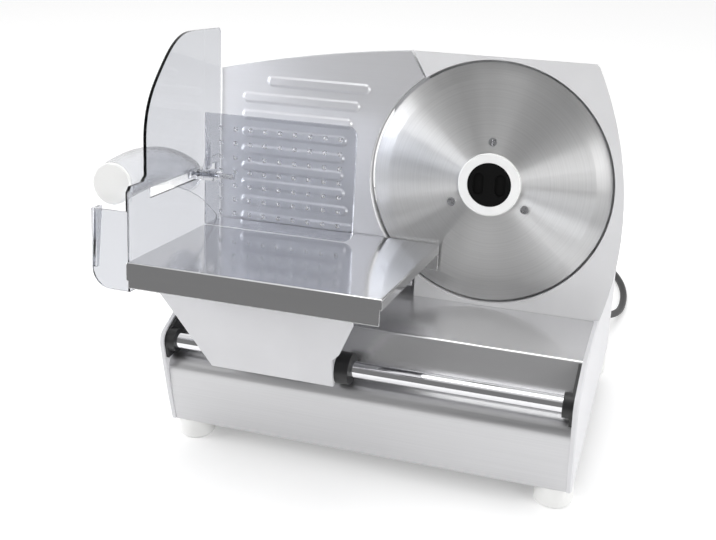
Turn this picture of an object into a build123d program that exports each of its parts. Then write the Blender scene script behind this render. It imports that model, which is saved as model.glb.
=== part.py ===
from build123d import *

import os
from math import acos, atan2, ceil, cos, degrees, hypot, pi, radians, sin, sqrt, tan

os.makedirs("parts", exist_ok=True)

# Electric food slicer with a round blade, a rail carriage and a clear food pusher.
# Millimetres and degrees. X runs along the rail to the right, Y away from the user, Z up.
# The origin lies on the table, under the middle of the machine's box.

# Place of the base's front right-hand corner
right_x = 176.32
front_y = -90.43

# Base
base_length = 332.0
base_depth = 238.0
foot_height = 18.0
shelf_z = 115.0
shelf_setback = 30.0
cap_thickness = 4.0
cap_round = 1.2
sheet = 1.2
bend = 2.5
panel_setback = 0.8
panel_shoulder_z = 66.0
panel_top_z = 80.0
panel_bulge = 4.5
groove_inset = 16.0
groove_bottom_z = 76.0
groove_top_z = 87.0
floor_thickness = 2.5
seat_gap = 0.1

# Rail and carriage run
rail_radius = 6.5
rail_inset = 1.1
rail_z = 93.1
ear_wall = 4.5
socket_plate = 2.5
socket_length = 8.0
socket_wall = 3.0

# Blade plane: it leans back, and the tray slopes down to it by the same angle
lean = 8.5
blade_radius = 95.0
blade_thickness = 1.5
blade_right_margin = 1.6
blade_from_front = 113.7
blade_shelf_gap = 2.2
grind_width = 12.0
edge_thickness = 0.35
hub_radius = 25.0
hub_proud = 1.8
lock_radius = 17.5
lock_depth = 3.4
lock_proud = 1.2
blade_screw_circle = 34.0
blade_screw_radius = 2.0
blade_screw_head = 3.4
blade_screw_proud = 0.6
blade_screw_count = 3

# Worm drive
gear_teeth = 60
gear_pitch_radius = 36.0
gear_addendum = 1.1
gear_dedendum = 1.4
gear_face = 11.0
gear_middle_n = -18.0
gear_tip_share = 0.2
gear_root_share = 0.54
gear_flange_radius = 39.0
gear_flange_back_n = -6.0
worm_starts = 2
worm_pitch_radius = 6.5
worm_addendum = 0.9
worm_dedendum = 1.3
worm_length = 24.0
worm_sections = 39
axle_radius = 4.0
axle_front_n = -3.0
axle_back_n = -37.0
run_gap = 0.05
press_gap = 0.03

# Blade housing
housing_front_n = 2.0
housing_corner = 2.5
housing_top_margin = 4.5
housing_top_left_in = 27.0
housing_top_right_in = 20.5
housing_bulge_margin = 9.5
housing_bulge_t = -4.0
housing_knee_margin = 3.0
housing_low_margin = 30.0
shoulder_in = 38.7
shoulder_drop = 15.0
strip_left_in = 40.0
housing_step_n = -25.0
housing_joint_n = -40.0
housing_slope = 0.304
housing_wall = 3.0
left_in = 7.0
left_shoulder_drop = 35.0
left_top_in = 33.0
left_slope = 0.13
recess_gap = 2.0
recess_depth = 9.0
recess_skin = 3.0
drum_in = 3.0
drum_back_in = 6.0
pocket_radius = 44.0
pocket_wall = 2.5
pocket_floor_n = -24.5
thrust_radius = 8.0
shaft_tunnel_gap = 1.0
gear_neck_radius = 30.0
boss_behind_radius = 10.0
post_radius = 5.5
post_well_radius = 4.0
post_well_floor = 4.0
post_screw_radius = 2.0
post_screw_head = 3.6
post_screw_reach = 12.0
worm_bush_t = 15.0
worm_bush_height = 8.0
worm_boss_radius = 9.0

# Rear cover
cover_back_n = -92.0
cover_wall = 2.5
cover_round = 5.0
vent_length = 34.0
vent_width = 3.0
vent_pitch = 8.0
vent_rows = 7
vent_s = -34.0
vent_t = 12.0

# Gauge plate
gauge_left_s = -232.0
gauge_left_t = 73.5
gauge_mid_s = -151.0
gauge_mid_t = 89.4
gauge_top_in = 25.0
gauge_top_margin = 4.3
gauge_bottom_in = 3.0
gauge_right_in = 37.5
gauge_arc_gap = 3.0
gauge_upper_drop = 16.0
gauge_front_n = 0.6
gauge_sheet = 2.0
gauge_rim_depth = 8.0
gauge_rim_wall = 1.8
gauge_edge = 0.5
rib_pitch = 14.5
rib_height = 8.5
rib_proud = 1.6
rib_taper = 45.0
rib_first_t = 66.0
rib_count = 9
rib_left_s = -212.0
rib_top_left_s = -190.0
rib_reach_margin = 26.0

# Gauge slide and thickness dial
guide_t = -56.0
guide_s = -122.0
guide_spread = 20.0
guide_rod_radius = 5.0
guide_rod_length = 62.0
guide_bush_wall = 2.0
guide_bush_back_n = -56.0
guide_tube_wall = 2.5
block_left_s = -160.0
block_right_s = -80.0
block_top_t = -30.0
spindle_radius = 4.0
spindle_front_n = -18.0
spindle_collar_radius = 8.0
spindle_collar = 3.0
spindle_boss = 3.5
nut_radius = 7.5
nut_length = 24.0
nut_gap = 0.7
bracket_thickness = 4.0
bracket_height = 30.0
bracket_width = 60.0
bracket_screw_s = 25.0
bracket_screw_t = 10.5
bracket_screw_radius = 1.5
bracket_screw_head = 3.0
bracket_screw_head_height = 2.0
dial_radius = 21.0
dial_depth = 15.0
dial_skirt = 4.0
dial_gap = 0.5
dial_flutes = 18
dial_flute_radius = 2.0
dial_cap = 3.0

# Tray
tray_left_s = -230.5
tray_right_s = -36.0
tray_t = -52.3
tray_back_n = 3.5
tray_front_n = 162.0
tray_sheet = 1.5
tray_front_lip = 19.5
tray_back_lip = 22.0
tray_right_lip = 8.0
tray_left_lip = 14.0

# Thumb guard
guard_thickness = 2.5
guard_bottom_t = -76.5
guard_top_t = 106.5
guard_back_n = 4.0
guard_corner = 4.0
guard_strip_n = 33.0
guard_shoulder_n = 55.0
guard_brow_n = 104.0
guard_brow_t = 83.0
guard_nose_n = 130.5
guard_nose_t = 30.0
guard_step_n = 136.0
guard_low_t = 2.0
guard_front_n = 157.0
skirt_width = 28.5
skirt_top_t = -16.5
skirt_corner = 15.0
skirt_return = 12.0
slot_back_n = 9.0
slot_front_n = 125.0
slot_low_t = -12.0
slot_height = 8.0
panel_relief = 0.8
panel_back_n = 8.0
panel_low_t = -50.0
panel_mid_n = 53.0
panel_mid_t = -22.5
panel_front_n = 152.0
panel_front_t = -3.0
guard_screw_ns = (24.0, 84.0, 144.0)
guard_screw_t = -60.0
guard_screw_radius = 2.0
guard_screw_head = 3.4
guard_screw_head_height = 1.6
guard_screw_reach = 8.0

# Food pusher
pusher_n = 34.0
pusher_sheet = 3.0
pusher_top_t = 41.0
pusher_right_s = -100.0
pusher_side_gap = 1.5
pusher_floor_gap = 0.8
pusher_corner = 8.0
tooth_size = 3.4
tooth_height = 3.0
tooth_taper = 18.0
tooth_rows = 7
tooth_columns = 9
tooth_row_pitch = 11.6
tooth_column_pitch = 12.8
stem_back_n = 36.5
stem_front_n = 50.0
stem_left_s = -239.0
stem_right_s = -214.0
stem_gap = 0.5
gusset_s = -224.0
gusset_width = 2.5
gusset_top_t = 32.0
pin_radius = 2.0
pin_left_s = -246.0
pin_right_s = -200.0
handle_s = -249.4
handle_radius = 15.5
handle_t = 1.0
handle_front_n = 149.0
handle_waist_n = 68.0
handle_waist_t = 0.0
handle_back_n = 32.0
handle_back_t = -12.0
handle_back_height = 29.0
handle_back_width = 28.0
handle_wall = 2.5
disc_thickness = 3.0

# Carriage foot
foot_panel = 3.5
foot_panel_bottom_z = 83.0
foot_panel_ahead = 12.5
foot_panel_top_drop = 34.2
foot_panel_top_ahead = 25.0
foot_left_low_inset = 47.2
foot_left_high_inset = 10.2
foot_left_break_z = 146.0
foot_right_low_before = 87.2
foot_right_step_before = 81.2
foot_right_high_before = 69.2
foot_right_low_z = 107.0
foot_right_step_z = 113.0
foot_right_break_z = 140.0
rail_boss_radius = 12.5
rail_boss_length = 22.0
rail_bush_wall = 2.35
bush_flange_right = 11.0
bush_flange_left = 6.0
bush_flange_left_radius = 9.8
rib_thickness = 4.0
rib_right_before = 129.7
rib_clearance = 4.0
arm_rear = 70.0
arm_height = 9.0
arm_rise = 34.0
arm_inset = 22.0
pad_front = 46.0
pad_rear = 62.0
pad_thickness = 3.0
pad_width = 9.0
pad_gap = 0.1
flange_thickness = 3.0
flange_back_n = 52.0
flange_front_n = 130.0
flange_left_s = -216.0
flange_right_s = -75.0
flange_screw_inset = 10.0
tray_screw_radius = 2.0
tray_screw_head = 3.6
tray_screw_head_height = 2.0
tray_screw_bite = 1.0

# Feet
foot_radius = 15.0
foot_taper = 1.5
foot_end_inset = 15.0
foot_front_inset = 15.5
foot_recess_radius = 6.0
foot_recess_depth = 6.0
foot_screw_radius = 2.0
foot_screw_head = 4.5
foot_screw_head_height = 2.5
floor_rim = 10.0
floor_boss_radius = 5.0
floor_boss_height = 8.0
floor_vent_length = 40.0
floor_vent_width = 3.0
floor_vent_pitch = 8.0
floor_vent_rows = 6
cap_post = 10.0
cap_post_height = 16.0
cap_post_front = 42.0
cap_screw_radius = 1.5
cap_screw_head = 3.0
cap_screw_head_height = 1.6
cap_screw_reach = 12.0

# Motor
motor_shaft_radius = 4.0
shaft_top_t = 22.9
shaft_below = 87.0
fan_below = 8.5
fan_thickness = 6.0
fan_radius = 19.0
fan_blades = 9
fan_blade_width = 1.4
fan_hub_radius = 7.0
fan_disc = 1.2
stator_below = 31.0
stator_height = 32.0
stator_size = 54.0
stator_corner = 6.0
stator_bore = 18.0
armature_radius = 17.2
armature_slots = 12
armature_slot_width = 2.0
armature_slot_depth = 6.0
commutator_radius = 11.0
commutator_below = 65.0
commutator_height = 12.0
bracket_upper_below = 16.0
bracket_lower_below = 83.0
bracket_plate = 5.0
bracket_depth = 20.0
bracket_leg = 7.0
bush_radius = 7.0
coil_over = 4.0
coil_inner_radius = 18.6
coil_outer_radius = 24.0
coil_half_angle = 42.0
coil_window_angle = 28.0
coil_slot_gap = 0.2
brush_width = 5.0
brush_length = 12.0
brush_height = 6.0
brush_gap = 0.3
brush_foot_inner = 5.6
brush_foot_height = 4.0
cradle_wall = 3.0
cradle_top_z = 42.0
cradle_gap = 0.1
motor_screw_radius = 1.8
motor_screw_head = 3.2
motor_screw_head_height = 2.0
motor_screw_s = 23.2

# Switch
switch_s = 22.0
switch_t = 26.0
switch_width = 21.0
switch_height = 16.0
switch_depth = 16.0
bezel_margin = 2.5
bezel_thickness = 2.0
rocker_well_width = 18.0
rocker_well_height = 13.0
rocker_well_depth = 11.0
rocker_side_gap = 0.4
rocker_pin_radius = 1.5
rocker_pivot = 4.8
rocker_tilt = 9.0
rocker_face = 7.2
rocker_dip = 5.6
rocker_half = 5.0
rocker_belly = 5.6
rocker_belly_reach = 4.0
rocker_tail = 3.0
rocker_tail_half = 3.6

# Cord, strain relief and plug
cord_radius = 3.5
cord_sides = 8
cord_bed = 0.1
relief_inset = 11.2
relief_z = 26.5
relief_flange_radius = 6.8
relief_flange = 2.0
relief_radius = 5.2
relief_tip_radius = 4.4
relief_inside = 6.0
relief_length = 30.0
# each run of the free cord: its length, its heading left of straight back, and its drop
cord_runs = (
    (20.0, 0.0, 0.0),
    (34.0, -15.0, 14.0),
    (36.0, -11.0, 8.9),
    (47.0, 2.0, 0.0),
    (50.0, 20.0, 0.0),
    (42.0, 45.0, 0.0),
    (38.0, 80.0, 0.0),
    (38.0, 115.0, 0.0),
    (38.0, 149.0, 0.0),
    (36.0, 180.0, 0.0),
)
coil_radius = 44.0
coil_pitch = 7.6
coil_layer = 7.7
coil_half_turns = 4
plug_relief = 31.0
plug_relief_radius = 3.9
plug_relief_end_radius = 6.0
plug_length = 30.0
plug_width = 26.0
plug_nose_width = 22.0
plug_corner = 4.0
plug_blade_width = 6.35
plug_blade_thickness = 1.5
plug_blade_length = 17.0
plug_blade_spacing = 12.7

overrun = 20.0

# Sizes that follow the blade
blade_from_right = blade_radius + blade_right_margin
blade_z = shelf_z + blade_radius + blade_shelf_gap
housing_top_t = blade_radius + housing_top_margin
housing_top_left_s = housing_top_left_in - blade_radius
housing_top_right_s = blade_radius - housing_top_right_in
housing_bulge_s = blade_radius + housing_bulge_margin
housing_knee_t = -(blade_radius + housing_knee_margin)
housing_low_t = -(blade_radius + housing_low_margin)
shoulder_s = shoulder_in - blade_radius
shoulder_t = blade_radius - shoulder_drop
strip_left_s = strip_left_in - blade_radius
left_s = left_in - blade_radius
left_shoulder_t = blade_radius - left_shoulder_drop
left_top_s = left_top_in - blade_radius
recess_radius = blade_radius + recess_gap
drum_radius = blade_radius - drum_in
drum_back_radius = blade_radius - drum_back_in
gauge_top_s = gauge_top_in - blade_radius
gauge_top_t = blade_radius + gauge_top_margin
gauge_bottom_t = gauge_bottom_in - blade_radius
gauge_right_s = gauge_right_in - blade_radius
gauge_arc_radius = blade_radius + gauge_arc_gap
gauge_upper_t = blade_radius - gauge_upper_drop
rib_reach = blade_radius + rib_reach_margin
fan_top_t = -(blade_radius + fan_below)
bracket_upper_t = -(blade_radius + bracket_upper_below)
stator_top_t = -(blade_radius + stator_below)
commutator_top_t = -(blade_radius + commutator_below)
bracket_lower_t = -(blade_radius + bracket_lower_below)
shaft_bottom_t = -(blade_radius + shaft_below)
foot_panel_top_z = blade_z - foot_panel_top_drop

# Places worked out from the sizes above
left_x = right_x - base_length
back_y = front_y + base_depth
bottom_z = foot_height
shelf_top = shelf_z - panel_setback
inner_left = left_x + cap_thickness
inner_right = right_x - cap_thickness
rail_y = front_y + rail_inset
ear_radius = rail_radius + ear_wall
ear_front_y = rail_y - ear_radius
shelf_front_y = front_y + shelf_setback
groove_y = front_y + groove_inset
blade_x = right_x - blade_from_right
blade_y = front_y + blade_from_front
foot_left_low_x = left_x + foot_left_low_inset
foot_left_high_x = left_x + foot_left_high_inset
foot_right_low_x = blade_x - foot_right_low_before
foot_right_step_x = blade_x - foot_right_step_before
foot_right_high_x = blade_x - foot_right_high_before
rib_right_x = blade_x - rib_right_before
across = Vector(0, -cos(radians(lean)), sin(radians(lean)))
uphill = Vector(0, sin(radians(lean)), cos(radians(lean)))
blade_centre = Vector(blade_x, blade_y, blade_z)
blade_plane = Plane(origin=blade_centre, x_dir=(1, 0, 0), z_dir=across)
recess_floor_n = housing_front_n - recess_depth
recess_back_n = recess_floor_n - recess_skin
shaft_s = gear_pitch_radius + worm_pitch_radius
shaft_n = gear_middle_n
gear_outer = gear_pitch_radius + gear_addendum
gear_root = gear_pitch_radius - gear_dedendum
worm_outer = worm_pitch_radius + worm_addendum
worm_root = worm_pitch_radius - worm_dedendum
worm_pitch = 2 * pi * gear_pitch_radius / gear_teeth
worm_lead = worm_pitch * worm_starts


def spot(s, t, n):
    """Point at s along X, t up the blade plane and n in front of it."""
    return blade_centre + Vector(s, 0, 0) + uphill * t + across * n


def side_plane(x):
    """Plane across X whose sketch coordinates are n and t; it extrudes to the left."""
    return Plane(origin=(x, blade_y, blade_z), x_dir=across, z_dir=(-1, 0, 0))


def upright_plane(s, t, n):
    """Plane square to the uphill direction; its x is X and its y points away from the user."""
    return Plane(origin=spot(s, t, n), x_dir=(1, 0, 0), z_dir=uphill)


def save(builder, name):
    """Label a finished piece and write it under its own name."""
    builder.part.label = name
    export_step(builder.part, "parts/" + name + ".step")


def base_outline():
    """Side outline of the base as seen along X, in y and z."""
    climb = atan2(shelf_z - rail_z, shelf_front_y - rail_y)
    span = hypot(shelf_z - rail_z, shelf_front_y - rail_y)
    leave = degrees(climb + acos(ear_radius / span))
    bow_y = (front_y + ear_front_y) / 2 - panel_setback
    with BuildSketch(Plane.XY) as outline:
        with BuildLine():
            ThreePointArc((front_y, bottom_z), (bow_y, (bottom_z + rail_z) / 2), (ear_front_y, rail_z))
            ear = CenterArc((rail_y, rail_z), ear_radius, 180, leave - 180)
            Polyline(
                ear @ 1,
                (shelf_front_y, shelf_z),
                (back_y, shelf_z),
                (back_y, bottom_z),
                (front_y, bottom_z),
            )
        make_face()
    return outline.sketch


# End caps with two screw posts each
post_ys = (front_y + cap_post_front, back_y - cap_post_front)


def make_end_cap(x, side):
    """End moulding of the base with its softened outer edge; side is 1 for the right one."""
    inner_x = x if side > 0 else x + cap_thickness
    post_x = inner_x - side * cap_post / 2
    with BuildPart() as cap:
        with BuildSketch(Plane.YZ.offset(x)):
            add(base_outline())
        extrude(amount=cap_thickness)
        outer = cap.faces().sort_by(Axis.X)[-1 if side > 0 else 0]
        chamfer(outer.edges(), length=cap_round)
        with BuildSketch(Plane.XY.offset(bottom_z + floor_thickness)):
            with Locations(*[(post_x, y) for y in post_ys]):
                Rectangle(cap_post, cap_post)
        extrude(amount=cap_post_height)
        with BuildSketch(Plane.XY.offset(bottom_z + floor_thickness)):
            with Locations(*[(post_x, y) for y in post_ys]):
                Circle(cap_screw_radius + press_gap)
        extrude(amount=cap_screw_reach, mode=Mode.SUBTRACT)
    return cap


save(make_end_cap(inner_right, 1), "right_end_cap")
save(make_end_cap(left_x, -1), "left_end_cap")

# Curved front panel of brushed sheet, rolled back at the top under the rail
with BuildPart() as front_panel:
    with BuildSketch(Plane.YZ.offset(inner_left)):
        with BuildLine():
            low = (front_y + panel_setback, bottom_z)
            middle = (front_y - panel_bulge * 0.62, (bottom_z + panel_shoulder_z) / 2)
            rise = ThreePointArc(low, middle, (front_y - panel_bulge, panel_shoulder_z))
            roll = TangentArc(rise @ 1, (front_y + groove_inset / 2, panel_top_z), tangent=rise % 1)
            Line(roll @ 1, (groove_y - seat_gap, panel_top_z))
            offset(amount=sheet, side=Side.RIGHT)
        make_face()
    extrude(amount=inner_right - inner_left)
save(front_panel, "front_panel")

# Polished top panel: groove wall, slope, shelf and rear wall in one folded sheet
window_x = blade_x + shaft_s
window_front_y = spot(0, fan_top_t, housing_front_n - 2 * housing_wall).Y
window_size = 2 * fan_radius + 2 * bend
window_y = window_front_y + window_size / 2
relief_x = right_x - relief_inset
with BuildPart() as top_panel:
    with BuildSketch(Plane.YZ.offset(inner_left)):
        with BuildLine():
            FilletPolyline(
                (groove_y, groove_bottom_z),
                (groove_y, groove_top_z),
                (shelf_front_y, shelf_top),
                (back_y - panel_setback, shelf_top),
                (back_y - panel_setback, bottom_z),
                radius=bend,
            )
            offset(amount=sheet, side=Side.RIGHT)
        make_face()
    extrude(amount=inner_right - inner_left)
    with BuildSketch(Plane.XY.offset(shelf_top - overrun)):
        with Locations((window_x, window_y)):
            Rectangle(window_size, window_size)
    extrude(amount=2 * overrun, mode=Mode.SUBTRACT)
    with BuildSketch(Plane.XZ.offset(overrun - back_y)):
        with Locations((relief_x, relief_z)):
            Circle(relief_radius + seat_gap)
    extrude(amount=-3 * overrun, mode=Mode.SUBTRACT)
save(top_panel, "top_panel")

# Bottom plate with its rim, screw bosses and vents
floor_front = front_y + panel_setback + sheet + seat_gap
floor_back = back_y - panel_setback - sheet - seat_gap
floor_mid = ((inner_left + inner_right) / 2, (floor_front + floor_back) / 2)
floor_length = inner_right - inner_left - 2 * seat_gap
foot_spots = [
    ("front_left", left_x + foot_end_inset, front_y + foot_front_inset),
    ("front_right", right_x - foot_end_inset, front_y + foot_front_inset),
    ("rear_left", left_x + foot_end_inset, back_y - foot_front_inset),
    ("rear_right", right_x - foot_end_inset, back_y - foot_front_inset),
]
foot_places = [(x, y) for _, x, y in foot_spots]
cap_screw_places = [
    (x, y) for x in (inner_left + cap_post / 2, inner_right - cap_post / 2) for y in post_ys
]
with BuildPart() as bottom_plate:
    with BuildSketch(Plane.XY.offset(bottom_z)):
        with Locations(floor_mid):
            Rectangle(floor_length, floor_back - floor_front)
    extrude(amount=floor_rim)
    with BuildSketch(Plane.XY.offset(bottom_z + floor_thickness)):
        with Locations(floor_mid):
            Rectangle(floor_length - 2 * floor_thickness, floor_back - floor_front - 2 * floor_thickness)
        with Locations(*cap_screw_places):
            Rectangle(cap_post + floor_thickness * 2, cap_post + floor_thickness)
    extrude(amount=floor_rim, mode=Mode.SUBTRACT)
    with BuildSketch(Plane.XY.offset(bottom_z)):
        with Locations(*foot_places):
            Circle(floor_boss_radius)
    extrude(amount=floor_boss_height)
    with BuildSketch(Plane.XY.offset(bottom_z - overrun)):
        with Locations(*foot_places):
            Circle(foot_screw_radius + press_gap)
        with Locations(*cap_screw_places):
            Circle(cap_screw_radius + seat_gap)
        with Locations((blade_x + shaft_s - window_size * 2, floor_mid[1])):
            with GridLocations(0, floor_vent_pitch, 1, floor_vent_rows):
                SlotOverall(floor_vent_length, floor_vent_width)
    extrude(amount=2 * overrun, mode=Mode.SUBTRACT)
    with BuildSketch(Plane.XY.offset(bottom_z + floor_thickness)):
        with Locations((right_x - relief_inset, back_y)):
            Rectangle(2 * relief_flange_radius, overrun)
    extrude(amount=floor_rim, mode=Mode.SUBTRACT)
save(bottom_plate, "bottom_plate")

with BuildPart() as bottom_screws:
    with BuildSketch(Plane.XY.offset(bottom_z)):
        with Locations(*cap_screw_places):
            Circle(cap_screw_head)
    extrude(amount=-cap_screw_head_height)
    with BuildSketch(Plane.XY.offset(bottom_z)):
        with Locations(*cap_screw_places):
            Circle(cap_screw_radius)
    extrude(amount=floor_thickness + cap_screw_reach - seat_gap)
save(bottom_screws, "bottom_screws")

# Feet and their screws
for place, x, y in foot_spots:
    with BuildPart() as foot:
        with BuildSketch(Plane(origin=(x, y, 0), x_dir=(1, 0, 0), z_dir=(0, -1, 0))):
            with BuildLine():
                Polyline(
                    (foot_screw_radius + press_gap, foot_recess_depth),
                    (foot_recess_radius, foot_recess_depth),
                    (foot_recess_radius, 0),
                    (foot_radius - foot_taper, 0),
                    (foot_radius, foot_taper),
                    (foot_radius, foot_height),
                    (foot_screw_radius + press_gap, foot_height),
                    close=True,
                )
            make_face()
        revolve(axis=Axis((x, y, 0), (0, 0, 1)))
    save(foot, "foot_" + place)

with BuildPart() as foot_screws:
    with BuildSketch(Plane.XY.offset(foot_recess_depth)):
        with Locations(*foot_places):
            Circle(foot_screw_head)
    extrude(amount=-foot_screw_head_height)
    with BuildSketch(Plane.XY.offset(foot_recess_depth)):
        with Locations(*foot_places):
            Circle(foot_screw_radius)
    extrude(amount=foot_height - foot_recess_depth + floor_boss_height)
save(foot_screws, "foot_screws")

# Chrome rail and the black sockets that hold its ends
with BuildPart() as slide_rail:
    with BuildSketch(Plane.YZ.offset(inner_left)):
        with Locations((rail_y, rail_z)):
            Circle(rail_radius)
    extrude(amount=inner_right - inner_left)
save(slide_rail, "slide_rail")


def make_socket(x, side):
    """Black rail socket: a plate that fills the end of the groove and a collar round the rail."""
    low_z = panel_top_z + seat_gap
    with BuildPart() as socket:
        with BuildSketch(Plane.YZ.offset(x)):
            add(base_outline())
            offset(amount=-2 * panel_setback, mode=Mode.REPLACE)
            with BuildLine():
                Polyline(
                    (ear_front_y - overrun, low_z),
                    (groove_y - 2 * seat_gap, low_z),
                    (groove_y - 2 * seat_gap, groove_top_z),
                    (shelf_front_y - 2 * seat_gap, shelf_z),
                    (ear_front_y - overrun, shelf_z),
                    close=True,
                )
            make_face(mode=Mode.INTERSECT)
        extrude(amount=side * socket_plate)
        with BuildSketch(Plane.YZ.offset(x)):
            with Locations((rail_y, rail_z)):
                Circle(rail_radius + socket_wall)
        extrude(amount=side * socket_length)
        with BuildSketch(Plane.YZ.offset(x)):
            with Locations((rail_y, rail_z)):
                Circle(rail_radius + press_gap)
        extrude(amount=side * socket_length, mode=Mode.SUBTRACT)
    return socket


save(make_socket(inner_left, 1), "rail_socket_left")
save(make_socket(inner_right, -1), "rail_socket_right")


# Blade housing
def slope_inset(n):
    """How far the housing has drawn in at the depth n."""
    return (housing_front_n - n) * housing_slope


def housing_outline(n, rear, wall=0.0):
    """Housing outline at the depth n, for the front block or the wider rear part."""
    inset = slope_inset(n) + wall
    top = housing_top_t - inset
    right = blade_from_right - inset
    if rear:
        drift = (housing_step_n - n) * left_slope + wall
        top_left = (left_top_s + drift, top)
        shoulder = (left_s + drift, left_shoulder_t - drift)
        low_left = (left_s + drift, housing_low_t)
    else:
        drift = (housing_front_n - n) * left_slope / 2 + wall
        edge_run = (shoulder_s - housing_top_left_s) / (housing_top_t - shoulder_t)
        top_left = (housing_top_left_s + drift + inset * edge_run, top)
        shoulder = (shoulder_s + drift, shoulder_t - drift)
        low_left = (strip_left_s + drift, housing_low_t)
    corner = (housing_top_right_s + housing_corner / 2 - inset, top - housing_corner)
    with BuildSketch(Plane.XY) as outline:
        with BuildLine():
            ThreePointArc((right, housing_knee_t), (housing_bulge_s - inset, housing_bulge_t), corner)
            Polyline(
                corner,
                (housing_top_right_s - housing_corner / 2 - inset, top),
                top_left,
                shoulder,
                low_left,
                (right, housing_low_t),
                (right, housing_knee_t),
            )
        make_face()
    return outline.sketch


def guide_block(n, wall=0.0):
    """Outline of the low block that carries the gauge slide, at the depth n."""
    drift = (housing_step_n - n) * left_slope / 2
    left = block_left_s + drift + wall
    top = block_top_t - drift - wall
    with BuildSketch(Plane.XY) as outline:
        with Locations(((left + block_right_s) / 2, (top + housing_low_t) / 2)):
            Rectangle(block_right_s - left, top - housing_low_t)
    return outline.sketch


posts = [
    (44.0, 48.0, recess_back_n),
    (-54.0, 50.0, recess_back_n),
    (58.0, -74.0, recess_back_n),
    (-70.0, -76.0, housing_step_n),
]
post_spots = [(s, t) for s, t, _ in posts]
guide_spots = [(guide_s - guide_spread, guide_t), (guide_s + guide_spread, guide_t)]
hollow_end_n = housing_joint_n - overrun
slab_back_n = housing_step_n - housing_wall

with BuildPart() as front_hollow:
    with BuildSketch(blade_plane.offset(housing_front_n - housing_wall)):
        add(housing_outline(housing_front_n - housing_wall, False, housing_wall))
    with BuildSketch(blade_plane.offset(slab_back_n)):
        add(housing_outline(slab_back_n, False, housing_wall))
    loft(ruled=True)
    with BuildSketch(blade_plane.offset(recess_back_n)):
        Circle(recess_radius + housing_wall)
    extrude(amount=overrun, mode=Mode.SUBTRACT)
    with BuildSketch(blade_plane.offset(recess_back_n)):
        Circle(drum_radius - housing_wall)
    with BuildSketch(blade_plane.offset(slab_back_n)):
        Circle(drum_back_radius - housing_wall)
    loft(ruled=True)
    with BuildSketch(blade_plane.offset(slab_back_n)):
        add(housing_outline(slab_back_n, True, housing_wall))
    with BuildSketch(blade_plane.offset(hollow_end_n)):
        add(housing_outline(hollow_end_n, True, housing_wall))
    loft(ruled=True)
    with BuildSketch(blade_plane.offset(slab_back_n)):
        add(guide_block(slab_back_n, housing_wall))
    with BuildSketch(blade_plane.offset(hollow_end_n)):
        add(guide_block(hollow_end_n, housing_wall))
    loft(ruled=True)

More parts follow.
